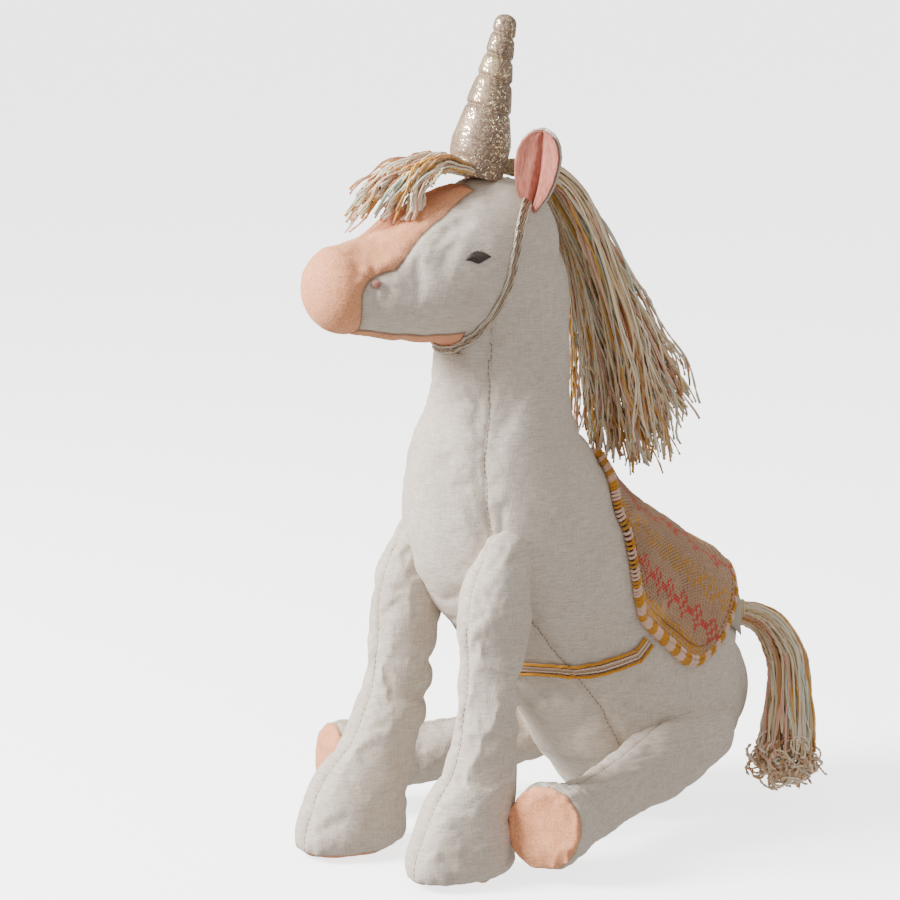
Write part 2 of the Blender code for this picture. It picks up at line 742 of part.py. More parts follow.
def set_on_head(v, turn, lift, scale, roll, name, look):
    """A lens-shaped bead sewn on the head."""
    place = head(v, turn, -lift)
    normal = (place - head(v, turn, 0.004)).normalized()
    along = (head(min(v + 0.01, 1.0), turn, 0.0) - head(v - 0.01, turn, 0.0)).normalized()
    up = normal.cross(along).normalized()
    frame = Matrix((along, up, normal)).transposed().to_4x4()
    bm = bmesh.new()
    bmesh.ops.create_uvsphere(bm, u_segments=12, v_segments=6, radius=1.0)
    spin = Matrix.Rotation(roll, 4, "Z")
    matrix = Matrix.Translation(place) @ frame @ spin @ Matrix.Diagonal((*scale, 1.0))
    bmesh.ops.transform(bm, matrix=turned @ matrix, verts=bm.verts)
    return finish_object(mesh_object(bm, name, unicorn), name, look)


for side, title in ((1.0, "Left"), (-1.0, "Right")):
    eye_turn = EYE_TURN if side > 0 else math.pi - EYE_TURN
    knot_turn = NOSTRIL_TURN if side > 0 else math.pi - NOSTRIL_TURN
    set_on_head(EYE_V, eye_turn, 0.0018, (EYE_SIZE / 2, EYE_SIZE * 0.32, 0.0012), 0.0, f"Eye_{title}", BLACK)
    set_on_head(
        NOSTRIL_V, knot_turn, 0.0019, (0.0022, 0.0017, 0.0014), 0.0, f"Nostril_Knot_{title}", PINK_THREAD
    )

# ---------------------------------------------------------------- chin elastic
ELASTIC_LIFT = ELASTIC_RADIUS + 0.0006
elastic_points = []
for k in range(29):
    share = k / 28.0
    turn = math.radians(62.0 - 304.0 * share)
    lowness = 0.5 - 0.5 * math.sin(turn)
    v = ELASTIC_V_TOP + (ELASTIC_V_CHIN - ELASTIC_V_TOP) * lowness
    elastic_points.append(head_point(v, turn, -ELASTIC_LIFT))


def wire(points, radius, name, look, sides=2, radii=None):
    """A round cord along points, with closed ends."""
    curve = bpy.data.curves.new(name, "CURVE")
    curve.dimensions = "3D"
    curve.bevel_depth = radius
    curve.bevel_resolution = sides
    curve.use_fill_caps = True
    line = curve.splines.new("POLY")
    line.points.add(len(points) - 1)
    for k, place in enumerate(points):
        line.points[k].co = (*place, 1.0)
        line.points[k].radius = radii[k] if radii else 1.0
    obj = bpy.data.objects.new(name, curve)
    cutters.objects.link(obj)
    view = bpy.context.evaluated_depsgraph_get()
    mesh = bpy.data.meshes.new_from_object(obj.evaluated_get(view))
    bpy.data.objects.remove(obj)
    made = bpy.data.objects.new(name, mesh)
    unicorn.objects.link(made)
    bm = bmesh.new()
    bm.from_mesh(mesh)
    bmesh.ops.remove_doubles(bm, verts=bm.verts, dist=0.00001)
    bmesh.ops.recalc_face_normals(bm, faces=bm.faces)
    bm.to_mesh(mesh)
    bm.free()
    return finish_object(made, name, look)


wire(elastic_points, ELASTIC_RADIUS, "Chin_Elastic", LUREX, 1)

# ---------------------------------------------------------------- ears
EAR_OUTLINE = [  # share of the length, half width
    (0.0, 0.0042),
    (0.12, 0.0062),
    (0.28, 0.0090),
    (0.45, 0.0104),
    (0.62, 0.0102),
    (0.78, 0.0086),
    (0.90, 0.0060),
    (0.97, 0.0034),
]


def ear_frame(side):
    """Columns: across, up along the ear, forwards out of its lining."""
    up = Vector((side * 0.13, 0.10, 0.98)).normalized()
    facing = Vector((side * 0.62, -0.78, 0.0))
    across = up.cross(facing).normalized()
    return across, up, across.cross(up).normalized()


def ear_layer(side, front, back, shrink, name, look):
    across, up, ahead = ear_frame(side)
    foot = Vector((side * EAR_FOOT[0], EAR_FOOT[1], EAR_FOOT[2]))
    bm = bmesh.new()
    layers = []
    for offset in (front, back):
        rows = []
        for high, wide in EAR_OUTLINE:
            row = []
            for k in range(7):
                b = -1.0 + k / 3.0
                cup = EAR_CUP * wide / 0.0104 * (b * b - 0.35)
                spot = (
                    foot
                    + up * (EAR_LENGTH * (high * shrink + (1.0 - shrink) * 0.4))
                    + across * (b * wide * shrink)
                    + ahead * (cup + offset)
                )
                row.append(bm.verts.new(spot))
            rows.append(row)
        for one, two in zip(rows, rows[1:]):
            for k in range(6):
                bm.faces.new((one[k], one[k + 1], two[k + 1], two[k]))
        layers.append(rows)
    top, low = layers
    for k in range(6):
        bm.faces.new((top[0][k], top[0][k + 1], low[0][k + 1], low[0][k]))
        bm.faces.new((top[-1][k], top[-1][k + 1], low[-1][k + 1], low[-1][k]))
    for i in range(len(top) - 1):
        bm.faces.new((top[i][0], top[i + 1][0], low[i + 1][0], low[i][0]))
        bm.faces.new((top[i][-1], top[i + 1][-1], low[i + 1][-1], low[i][-1]))
    return turn_with_head(finish_object(mesh_object(bm, name, unicorn), name, look))


for side, title in ((1.0, "Left"), (-1.0, "Right")):
    ear_layer(side, 0.0, -0.0014, 1.0, f"Ear_{title}_Outer_Linen", LINEN)
    ear_layer(side, 0.0014, 0.0003, 0.93, f"Ear_{title}_Lining", LINING)

# ---------------------------------------------------------------- horn
HORN_FOOT = Vector((0.0, -0.1085, 0.3292))
HORN_LENGTH = 0.0700
HORN_LEAN = math.radians(13.5)
HORN_PROFILE = [  # radius and height: five puffy segments between the spiral grooves
    (0.0138, 0.0000),
    (0.0134, 0.0080),
    (0.0120, 0.0175),
    (0.0098, 0.0200),
    (0.0112, 0.0255),
    (0.0098, 0.0335),
    (0.0078, 0.0362),
    (0.0090, 0.0405),
    (0.0078, 0.0475),
    (0.0058, 0.0500),
    (0.0068, 0.0540),
    (0.0058, 0.0590),
    (0.0042, 0.0610),
    (0.0050, 0.0645),
    (0.0040, 0.0685),
    (0.0014, 0.0700),
]


def lathe(profile, around, name, look):
    """Turns a closed outline (radius, height) round the upright axis."""
    bm = bmesh.new()
    verts = [bm.verts.new((r, 0.0, z)) for r, z in profile]
    for a, b in zip(verts, verts[1:]):
        bm.edges.new((a, b))
    mesh = bpy.data.meshes.new(name)
    bm.to_mesh(mesh)
    bm.free()
    obj = bpy.data.objects.new(name, mesh)
    unicorn.objects.link(obj)
    turn = obj.modifiers.new("Lathe", "SCREW")
    turn.steps = around
    turn.render_steps = around
    turn.use_merge_vertices = True
    turn.merge_threshold = 0.00001
    view = bpy.context.evaluated_depsgraph_get()
    result = bpy.data.meshes.new_from_object(obj.evaluated_get(view))
    obj.modifiers.clear()
    obj.data = result
    bm = bmesh.new()
    bm.from_mesh(result)
    bmesh.ops.remove_doubles(bm, verts=bm.verts, dist=0.00001)
    bmesh.ops.recalc_face_normals(bm, faces=bm.faces)
    bm.to_mesh(result)
    bm.free()
    lean = Matrix.Translation(HORN_FOOT) @ Matrix.Rotation(-HORN_LEAN, 4, "X")
    obj.data.transform(lean)
    return turn_with_head(finish_object(obj, name, look))


wall = 0.0010


def inset_profile(inset, least, low, tip_drop):
    """The horn's profile moved inwards, no thinner than least, its foot at low and its tip lowered."""
    rows = [[max(radius - inset, least), max(height, low)] for radius, height in HORN_PROFILE]
    rows[-1][1] -= tip_drop
    return [tuple(row) for row in rows]


outside = list(reversed(HORN_PROFILE))
inside = inset_profile(wall, 0.0012, 0.0, 0.0012)
shell = [(0.0, HORN_LENGTH)] + outside + inside + [(0.0, HORN_LENGTH - 0.0012)]
lathe(shell, 12, "Horn_Glitter_Cover", GLITTER)
core = inset_profile(wall + 2 * GAP, 0.0005, 0.0016, 0.0018)
lathe([(0.0, HORN_LENGTH - 0.0018)] + list(reversed(core)) + [(0.0, 0.0016)], 12, "Horn_Stuffing", STUFFING)
base = 0.0138 - wall - GAP
lathe([(0.0, 0.0012), (base, 0.0012), (base, 0.0), (0.0, 0.0)], 12, "Horn_Base_Felt", GLITTER)


# ---------------------------------------------------------------- yarn hair
def lock(rows, name):
    """One thick lock of yarn: rows are x, y, z, half width, half thickness."""
    form = tube(rows, SIDE, rows[0][4], rows[-1][4] * 0.6)
    return closed_form(form, 0.0, [0.0, 0.06, 0.12, 0.28, 0.42, 0.57, 0.72, 0.88, 1.0], 7, name, cutters)


def bundle(locks, name, look, with_head):
    """Locks joined into one head of hair."""
    whole = copy_of(lock(locks[0], name + "_0"), name, unicorn)
    for k, rows in enumerate(locks[1:]):
        boolean(whole, lock(rows, f"{name}_{k + 1}"), "UNION")
    tidy(whole)
    finish_object(whole, name, look)
    if with_head:
        turn_with_head(whole)
    return whole


mane_locks = []
for x, lean, tip_y, tip_z, thick in MANE_LOCKS:
    mane_locks.append(
        [
            (x * 0.30, -0.0900, 0.3260, 0.0060, 0.0045),
            (x * 0.55, -0.0700, 0.3200, 0.0080, 0.0060),
            (x * 0.75, -0.0530 + lean * 0.3, 0.2930, 0.0085, thick),
            (x * 0.90, -0.0440 + (tip_y + 0.044) * 0.40, 0.2930 + (tip_z - 0.293) * 0.42, 0.0085, thick),
            (x, -0.0400 + (tip_y + 0.040) * 0.75, 0.2930 + (tip_z - 0.293) * 0.75, 0.0080, thick * 0.9),
            (x, tip_y, tip_z, 0.0060, 0.0045),
        ]
    )
bundle(mane_locks, "Mane_Yarn", YARN, True)

fore_locks = []
for x, tip_x, tip_y, tip_z in FORELOCK_LOCKS:
    fore_locks.append(
        [
            (x * 0.55, -0.1275, 0.3240, 0.0050, 0.0036),
            (x, -0.1380, 0.3260, 0.0055, 0.0042),
            (x * 0.6 + tip_x * 0.4, -0.1500, (0.327 + tip_z) / 2 + 0.004, 0.0058, 0.0040),
            (tip_x, tip_y, tip_z, 0.0048, 0.0030),
        ]
    )
bundle(fore_locks, "Forelock_Yarn", YARN, True)

# ---------------------------------------------------------------- tail
tail = tube(TAIL_ROWS, Vector((0.45, -0.9, 0.0)).normalized(), 0.006, 0.004, floor=0.0)
tail_stations = [0.0, 0.06, 0.12] + spread(0.12, 0.88, 10)[1:] + [0.94, 1.0]
finish_object(closed_form(tail, 0.0, tail_stations, 14, "tail", unicorn), "Tail_Yarn", YARN)


def cuff(v_low, v_high, low, high, around, name, look):
    """A short sleeve wound round the root of the tail."""
    bm = bmesh.new()
    rings = []
    for v, depth in ((v_low, -low), (v_low, -high), (v_high, -high), (v_high, -low)):
        rings.append([bm.verts.new(tail(v, 2 * math.pi * k / around, depth)) for k in range(around)])
    for j in range(4):
        one = rings[j]
        two = rings[(j + 1) % 4]
        for k in range(around):
            n = (k + 1) % around
            bm.faces.new((one[k], one[n], two[n], two[k]))
    return finish_object(mesh_object(bm, name, unicorn), name, look)


cuff(0.15, 0.21, 2 * GAP, 2 * GAP + 0.0012, 14, "Tail_Wrap_Thread", PINK_THREAD)

# ---------------------------------------------------------------- the seat is the origin
to_origin = Matrix.Translation((0.0, -SEAT_Y, 0.0))
PIVOTS = {  # each moving piece has its origin on its own hinge
    "Front_Leg_Left": SHOULDER,
    "Front_Leg_Right": Vector((FRONT_RIGHT_ROWS[0][:3])),
    "Hind_Leg_Left": HIP,
    "Hind_Leg_Right": Vector((-HIP.x, HIP.y, HIP.z)),
    "Tail": Vector(TAIL_ROWS[0][:3]),
    "Ear_Left": turned @ Vector(EAR_FOOT),
    "Ear_Right": turned @ Vector((-EAR_FOOT[0], EAR_FOOT[1], EAR_FOOT[2])),
    "Horn": turned @ HORN_FOOT,
}
HEAD_PIECES = ("Head", "Face", "Chin", "Eye", "Nostril", "Mane", "Forelock")
for first_word in HEAD_PIECES:
    PIVOTS[first_word] = NECK_AXIS

for piece in unicorn.objects:
    pivot = Vector((0.0, 0.0, 0.0))
    for beginning, centre in PIVOTS.items():
        if piece.name.startswith(beginning):
            pivot = to_origin @ centre
    piece.data.transform(Matrix.Translation(-pivot) @ to_origin)
    piece.location = pivot

for leftover in list(cutters.objects):
    bpy.data.objects.remove(leftover)
for obj in unicorn.objects:
    obj.data.shade_smooth()
    obj.data.set_sharp_from_angle(angle=math.radians(50.0))
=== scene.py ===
"""Looks of the sitting plush unicorn: linen, velour face and soles, yarn hair, glitter horn, knit blanket."""

import json
import math

import bpy
import numpy as np
from mathutils import Matrix, Vector
from mathutils.bvhtree import BVHTree
from mathutils.kdtree import KDTree


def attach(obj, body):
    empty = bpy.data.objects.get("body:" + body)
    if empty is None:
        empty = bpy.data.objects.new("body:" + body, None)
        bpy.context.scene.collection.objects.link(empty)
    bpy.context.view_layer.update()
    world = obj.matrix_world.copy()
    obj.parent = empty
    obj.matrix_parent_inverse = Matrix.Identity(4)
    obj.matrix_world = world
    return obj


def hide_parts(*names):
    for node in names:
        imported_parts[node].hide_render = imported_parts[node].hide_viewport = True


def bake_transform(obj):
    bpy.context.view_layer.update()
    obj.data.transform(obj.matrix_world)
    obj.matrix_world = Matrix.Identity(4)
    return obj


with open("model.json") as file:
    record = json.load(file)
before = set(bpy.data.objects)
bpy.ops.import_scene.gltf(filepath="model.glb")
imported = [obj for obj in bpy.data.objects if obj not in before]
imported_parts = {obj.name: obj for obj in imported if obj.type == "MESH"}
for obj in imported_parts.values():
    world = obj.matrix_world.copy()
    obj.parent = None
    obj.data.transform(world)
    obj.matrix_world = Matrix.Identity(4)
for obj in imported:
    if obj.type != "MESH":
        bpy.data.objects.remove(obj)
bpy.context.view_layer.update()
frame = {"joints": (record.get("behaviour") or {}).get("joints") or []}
joint = {j["name"]: j for j in frame["joints"]}
rng = np.random.default_rng(11)

PI = math.pi
DOWN = -PI / 2
NECK = np.array(joint["neck_turn"]["pos_m"])
SHIFT = NECK - np.array((0.0, -0.095, 0.2415))
HEAD_TURN = math.radians(-10.0)
GUSSET = math.radians(42.0)
DOME_SHARE = 0.12
SEAM_DEPTH = -0.00005
EYE_V, NOSTRIL_V = 0.405, 0.775
CHEEK_TURN = math.radians(14.0)


# ------------------------------------------------------------ forms
def spline(rows, t):
    rows = np.asarray(rows, float)
    last = len(rows) - 1
    t = np.clip(t, 0.0, last)
    i = np.minimum(t.astype(int), last - 1)
    f = (t - i)[:, None]
    ext = np.vstack([2 * rows[0] - rows[1], rows, 2 * rows[-1] - rows[-2]])
    p0, p1, p2, p3 = ext[i], ext[i + 1], ext[i + 2], ext[i + 3]
    s1, s2 = 0.5 * (p2 - p0), 0.5 * (p3 - p1)
    return p1 + s1 * f + (3 * (p2 - p1) - 2 * s1 - s2) * f**2 + (2 * (p1 - p2) + s1 + s2) * f**3


def unit(a):
    return a / np.maximum(np.linalg.norm(a, axis=-1, keepdims=True), 1e-12)


def tube(rows, side, dome_start, dome_end, floor=None, place=None):
    """A stuffed form: point(v, turn, depth) on arrays, in the row frame."""
    rows = np.asarray(rows, float).copy()
    rows[:, :3] += SHIFT
    last = len(rows) - 1
    s0, s1 = (DOME_SHARE if dome else 0.0 for dome in (dome_start, dome_end))
    side = np.asarray(side, float)

    def raw(v, turn):
        swell, push = np.ones_like(v), np.zeros_like(v)
        t = last * (v - s0) / (1 - s0 - s1)
        if s0:
            a = (1 - v / s0) * PI / 2
            at = v < s0
            swell[at], push[at] = np.cos(a[at]), -dome_start * np.sin(a[at])
        if s1:
            a = (1 - (1 - v) / s1) * PI / 2
            at = v > 1 - s1
            swell[at], push[at] = np.cos(a[at]), dome_end * np.sin(a[at])
        row = spline(rows, t)
        t = np.clip(t, 0, last)
        along = unit(spline(rows, t + 0.02)[:, :3] - spline(rows, t - 0.02)[:, :3])
        across = unit(side - along * (along @ side)[:, None])
        up = np.cross(along, across)
        swell = np.maximum(swell, 0.0005)
        return (
            row[:, :3]
            + along * push[:, None]
            + across * (row[:, 3] * swell * np.cos(turn))[:, None]
            + up * (row[:, 4] * swell * np.sin(turn))[:, None]
        )

    def point(v, turn, depth=0.0):
        v, turn, depth = np.broadcast_arrays(*(np.asarray(x, float) for x in (v, turn, depth)))
        shape = v.shape
        v, turn, depth = v.ravel(), turn.ravel(), depth.ravel()
        p = raw(v, turn)
        du = raw(v, turn + 0.03) - raw(v, turn - 0.03)
        dv = raw(np.minimum(v + 0.004, 1.0), turn) - raw(np.maximum(v - 0.004, 0.0), turn)
        p = p - unit(np.cross(du, dv)) * depth[:, None]
        if floor is not None:
            p[:, 2] = np.maximum(p[:, 2], floor + np.maximum(depth, 0))
        if place is not None:
            p = place(p)
        return p.reshape(shape + (3,))

    return point


def about_neck(p, angle=HEAD_TURN):
    p = np.asarray(p, float)
    c, s = math.cos(angle), math.sin(angle)
    q = p - NECK
    out = q.copy()
    out[..., 0], out[..., 1] = c * q[..., 0] - s * q[..., 1], s * q[..., 0] + c * q[..., 1]
    return out + NECK


TORSO_ROWS = [
    (0.0, 0.041, 0.0580, 0.033, 0.0330),
    (0.0, 0.024, 0.0580, 0.043, 0.0585),
    (0.0, 0.005, 0.0665, 0.047, 0.0710),
    (0.0, -0.026, 0.096, 0.047, 0.061),
    (0.0, -0.058, 0.124, 0.047, 0.055),
    (0.0, -0.088, 0.157, 0.049, 0.054),
    (0.0, -0.0965, 0.188, 0.0425, 0.0470),
    (0.0, -0.0955, 0.216, 0.0335, 0.0370),
    (0.0, -0.095, 0.242, 0.0300, 0.0345),
    (0.0, -0.093, 0.264, 0.0290, 0.0325),
    (0.0, -0.094, 0.280, 0.0270, 0.0300),
    (0.0, -0.096, 0.292, 0.0200, 0.0230),
    (0.0, -0.097, 0.297, 0.0080, 0.0090),
]
HEAD_ROWS = [
    (0.0, -0.0890, 0.2830, 0.0300, 0.0340),
    (0.0, -0.1030, 0.2860, 0.0345, 0.0370),
    (0.0, -0.1230, 0.2820, 0.0360, 0.0360),
    (0.0, -0.1430, 0.2775, 0.0330, 0.0320),
    (0.0, -0.1600, 0.2745, 0.0268, 0.0262),
    (0.0, -0.1740, 0.2740, 0.0225, 0.0225),
    (0.0, -0.1850, 0.2745, 0.0200, 0.0200),
]
FRONT_LEFT = [
    (0.0335, -0.1225, 0.1480, 0.0120, 0.0150),
    (0.0345, -0.1305, 0.1260, 0.0160, 0.0185),
    (0.0350, -0.1345, 0.0980, 0.0150, 0.0152),
    (0.0352, -0.1375, 0.0720, 0.0150, 0.0152),
    (0.0352, -0.1410, 0.0460, 0.0168, 0.0188),
    (0.0352, -0.1490, 0.0250, 0.0198, 0.0255),
    (0.0350, -0.1530, 0.0090, 0.0205, 0.0290),
    (0.0350, -0.1530, 0.0025, 0.0200, 0.0280),
]
FRONT_RIGHT = [
    (-0.0270, -0.1225, 0.1480, 0.0120, 0.0150),
    (-0.0285, -0.1290, 0.1260, 0.0162, 0.0190),
    (-0.0290, -0.1325, 0.0980, 0.0160, 0.0172),
    (-0.0302, -0.1370, 0.0720, 0.0158, 0.0165),
    (-0.0322, -0.1460, 0.0460, 0.0172, 0.0195),
    (-0.0335, -0.1570, 0.0250, 0.0205, 0.0265),
    (-0.0340, -0.1610, 0.0090, 0.0210, 0.0300),
    (-0.0340, -0.1610, 0.0025, 0.0205, 0.0290),
]
HIND_LEFT = [
    (0.0375, 0.0045, 0.0430, 0.0175, 0.0190),
    (0.0415, -0.0200, 0.0375, 0.0170, 0.0185),
    (0.0465, -0.0480, 0.0315, 0.0155, 0.0165),
    (0.0520, -0.0735, 0.0275, 0.0146, 0.0152),
    (0.0575, -0.0965, 0.0255, 0.0150, 0.0160),
    (0.0620, -0.1130, 0.0255, 0.0178, 0.0190),
    (0.0655, -0.1240, 0.0262, 0.0200, 0.0208),
    (0.0680, -0.1310, 0.0268, 0.0204, 0.0212),
]
HIND_RIGHT = [
    (-0.0375, 0.0045, 0.0430, 0.0175, 0.0190),
    (-0.0440, -0.0180, 0.0370, 0.0170, 0.0180),
    (-0.0530, -0.0440, 0.0320, 0.0158, 0.0166),
    (-0.0620, -0.0680, 0.0285, 0.0150, 0.0156),
    (-0.0720, -0.0900, 0.0265, 0.0155, 0.0162),
    (-0.0800, -0.1060, 0.0265, 0.0175, 0.0185),
    (-0.0850, -0.1190, 0.0268, 0.0188, 0.0196),
    (-0.0880, -0.1290, 0.0270, 0.0190, 0.0198),
]
TAIL_ROWS = [
    (0.0010, 0.0480, 0.0880, 0.0048, 0.0046),
    (0.0035, 0.0650, 0.0885, 0.0056, 0.0054),
    (0.0150, 0.0775, 0.0830, 0.0080, 0.0078),
    (0.0294, 0.0769, 0.0684, 0.0110, 0.0100),
    (0.0416, 0.0668, 0.0529, 0.0120, 0.0112),
    (0.0510, 0.0560, 0.0360, 0.0150, 0.0130),
    (0.0565, 0.0475, 0.0200, 0.0175, 0.0150),
]
torso = tube(TORSO_ROWS, (1, 0, 0), 0.017, 0.0, floor=0.0)
head = tube(HEAD_ROWS, (1, 0, 0), 0.016, 0.015, place=about_neck)


# ------------------------------------------------------------ meshes
def new_mesh(name, verts, faces, smooth=True):
    mesh = bpy.data.meshes.new(name)
    mesh.from_pydata(np.asarray(verts, float).tolist(), [], [tuple(int(i) for i in f) for f in faces])
    mesh.update()
    obj = bpy.data.objects.new(name, mesh)
    bpy.context.scene.collection.objects.link(obj)
    if smooth:
        mesh.shade_smooth()
    return obj


def coords(obj):
    co = np.empty(len(obj.data.vertices) * 3, np.float32)
    obj.data.vertices.foreach_get("co", co)
    return co.reshape(-1, 3).astype(float)


def set_coords(obj, co):
    obj.data.vertices.foreach_set("co", np.asarray(co, np.float32).ravel())
    obj.data.update()


def normals(obj):
    n = np.empty(len(obj.data.vertices) * 3, np.float32)
    obj.data.vertices.foreach_get("normal", n)
    return n.reshape(-1, 3).astype(float)


def put(obj, name, values, kind="FLOAT"):
    layer = obj.data.attributes.get(name) or obj.data.attributes.new(name, kind, "POINT")
    values = np.asarray(values, np.float32)
    if kind == "FLOAT_COLOR":
        values = np.hstack([values[:, :3], np.ones((len(values), 1), np.float32)])
        layer.data.foreach_set("color", values.ravel())
    elif kind == "FLOAT_VECTOR":
        layer.data.foreach_set("vector", values.ravel())
    else:
        layer.data.foreach_set("value", values)


def keep_rest(obj):
    put(obj, "rest", coords(obj), "FLOAT_VECTOR")
    return obj


def grid_faces(rows, cols, closed, offset=0):
    i, k = np.meshgrid(np.arange(rows - 1), np.arange(cols if closed else cols - 1), indexing="ij")
    n = (k + 1) % cols
    a, b, c, d = i * cols + k, i * cols + n, (i + 1) * cols + n, (i + 1) * cols + k
    return np.stack([a, b, c, d], -1).reshape(-1, 4) + offset


def closed_grid(name, rings):
    """A closed form from rings of points, with a pole at each end."""
    rows, cols = rings.shape[:2]
    verts = np.vstack([rings.reshape(-1, 3), rings[0].mean(0), rings[-1].mean(0)])
    faces = [tuple(f) for f in grid_faces(rows, cols, True)]
    low, high = rows * cols, rows * cols + 1
    faces += [((k + 1) % cols, k, low) for k in range(cols)]
    faces += [((rows - 1) * cols + k, (rows - 1) * cols + (k + 1) % cols, high) for k in range(cols)]
    return new_mesh(name, verts, faces)


def bake(obj):
    """The object's modifiers made real."""
    view = bpy.context.evaluated_depsgraph_get()
    mesh = bpy.data.meshes.new_from_object(obj.evaluated_get(view))
    obj.modifiers.clear()
    old = obj.data
    obj.data = mesh
    mesh.name = obj.name
    bpy.data.meshes.remove(old)
    return obj


def outward(obj):
    """Faces turned to point out of a closed form."""
    mesh = obj.data
    co = coords(obj)
    total = 0.0
    for p in list(mesh.polygons)[:: max(1, len(mesh.polygons) // 4000)]:
        total += float(np.dot(co[p.vertices[0]] - co.mean(0), p.normal)) * p.area
    if total < 0:
        mesh.flip_normals()
    return obj


def voxels(obj, size):
    m = obj.modifiers.new("Voxel", "REMESH")
    m.mode = "VOXEL"
    m.voxel_size = size
    m.use_smooth_shade = True
    return bake(obj)


def relax(obj, factor, times, weight=None):
    m = obj.modifiers.new("Relax", "SMOOTH")
    m.factor, m.iterations = factor, times
    if weight is not None:
        g = obj.vertex_groups.new(name="relax")
        for i, w in enumerate(weight):
            if w > 0.01:
                g.add([i], float(w), "REPLACE")
        m.vertex_group = "relax"
    bake(obj)
    obj.vertex_groups.clear()
    return obj


def thicken(obj, thickness, offset=-1.0):
    m = obj.modifiers.new("Thick", "SOLIDIFY")
    m.thickness, m.offset = thickness, offset
    return bake(obj)


def subdivide(obj, levels):
    m = obj.modifiers.new("Fine", "SUBSURF")
    m.levels = m.render_levels = levels
    return bake(obj)


def seam_distance(points, lines):
    """Distance from each point to the nearest of the sampled seam lines."""
    tree = KDTree(sum(len(line) for line in lines))
    n = 0
    for line in lines:
        for p in line:
            tree.insert(p, n)
            n += 1
    tree.balance()
    return np.array([tree.find(p)[2] for p in points])


def dense(line, step=0.0006):
    line = np.asarray(line, float)
    seg = np.linalg.norm(np.diff(line, axis=0), axis=1)
    s = np.concatenate([[0], np.cumsum(seg)])
    t = np.linspace(0, s[-1], max(2, int(s[-1] / step)))
    return np.stack([np.interp(t, s, line[:, k]) for k in range(3)], 1)


def puffed(obj, seam_lines, grow, cap, bend=0.4, pressure=4.0):
    """Air pressure against sewn seams: the cloth swells and puckers, held where it is stitched."""
    start = coords(obj)
    hold = np.exp(-((seam_distance(start, seam_lines) / 0.0030) ** 2)) if seam_lines else np.zeros(len(start))
    group = obj.vertex_groups.new(name="sewn")
    for i, w in enumerate(hold):
        group.add([i], float(min(1.0, 0.02 + w)), "REPLACE")
    mod = obj.modifiers.new("Cloth", "CLOTH")
    s = mod.settings
    s.quality = 5
    s.mass = 0.15
    s.tension_stiffness = s.compression_stiffness = 18
    s.shear_stiffness = 6
    s.bending_stiffness = bend
    s.use_pressure = True
    s.uniform_pressure_force = pressure
    s.shrink_min = -grow
    s.vertex_group_mass = "sewn"
    s.effector_weights.gravity = 0.0
    mod.point_cache.frame_start, mod.point_cache.frame_end = 1, 20
    scene = bpy.context.scene
    for f in range(1, 21):
        scene.frame_set(f)
    bake(obj)
    scene.frame_set(1)
    moved = coords(obj) - start
    size = np.linalg.norm(moved, axis=1, keepdims=True)
    limit = cap * np.tanh(size / cap) / np.maximum(size, 1e-9)
    set_coords(obj, start + moved * limit)
    obj.vertex_groups.clear()
    return obj


def hash_noise(p, scale, seed=0):
    """Smooth value noise, -1 to 1, the same each run."""
    q = np.asarray(p, float) * scale + seed * 17.31
    base = np.floor(q)
    f = q - base
    f = f * f * (3 - 2 * f)
    total = 0.0
    for dx in (0, 1):
        for dy in (0, 1):
            for dz in (0, 1):
                c = base + (dx, dy, dz)
                h = np.sin(c @ np.array((127.1, 311.7, 74.7)) + seed) * 43758.5453
                w = (f[..., 0] if dx else 1 - f[..., 0]) * (f[..., 1] if dy else 1 - f[..., 1])
                w = w * (f[..., 2] if dz else 1 - f[..., 2])
                total = total + w * ((h - np.floor(h)) * 2 - 1)
    return total


def strands(name, paths, radius, tints, sides=5, plies=2, twist=0.0042, taper=None):
    """Twisted yarns along paths (N, K, 3), all in one mesh with their own colours."""
    paths = np.asarray(paths, float)
    count, steps = paths.shape[:2]
    radius = np.broadcast_to(np.asarray(radius, float), (count,))
    along = unit(np.gradient(paths, axis=1))
    ref = np.where(np.abs(along[..., 2:3]) > 0.85, np.array((1.0, 0, 0)), np.array((0, 0, 1.0)))
    ref = np.broadcast_to(ref[:, steps // 2 : steps // 2 + 1], along.shape)
    u = unit(np.cross(along, ref))
    w = np.cross(along, u)
    length = np.concatenate(
        [np.zeros((count, 1)), np.cumsum(np.linalg.norm(np.diff(paths, axis=1), axis=2), axis=1)], axis=1
    )
    phase = rng.uniform(0, 2 * PI, count)[:, None]
    shape = np.ones(steps) if taper is None else taper
    verts, faces, colours = [], [], []
    ring = np.arange(sides) * 2 * PI / sides
    base = 0
    for ply in range(plies):
        a = phase + 2 * PI * length / twist + 2 * PI * ply / max(plies, 1)
        off = (radius[:, None] * (0.52 if plies > 1 else 0.0) * shape[None])[..., None]
        centre = paths + off * (u * np.cos(a)[..., None] + w * np.sin(a)[..., None])
        r = (radius[:, None] * (0.60 if plies > 1 else 1.0) * shape[None])[..., None, None]
        c, s = (f(ring)[None, None, :, None] for f in (np.cos, np.sin))
        pts = centre[:, :, None] + r * (u[:, :, None] * c + w[:, :, None] * s)
        block = pts.reshape(count, steps * sides, 3)
        f = grid_faces(steps, sides, True)
        caps = [tuple(range(sides - 1, -1, -1)), tuple((steps - 1) * sides + k for k in range(sides))]
        for n in range(count):
            faces.extend((f + base).tolist())
            faces.extend([[c + base for c in cap] for cap in caps])
            base += steps * sides
        verts.append(block.reshape(-1, 3))
        colours.append(np.repeat(tints, steps * sides, axis=0))
    obj = new_mesh(name, np.vstack(verts), faces)
    put(obj, "tint", np.vstack(colours), "FLOAT_COLOR")
    return keep_rest(obj)


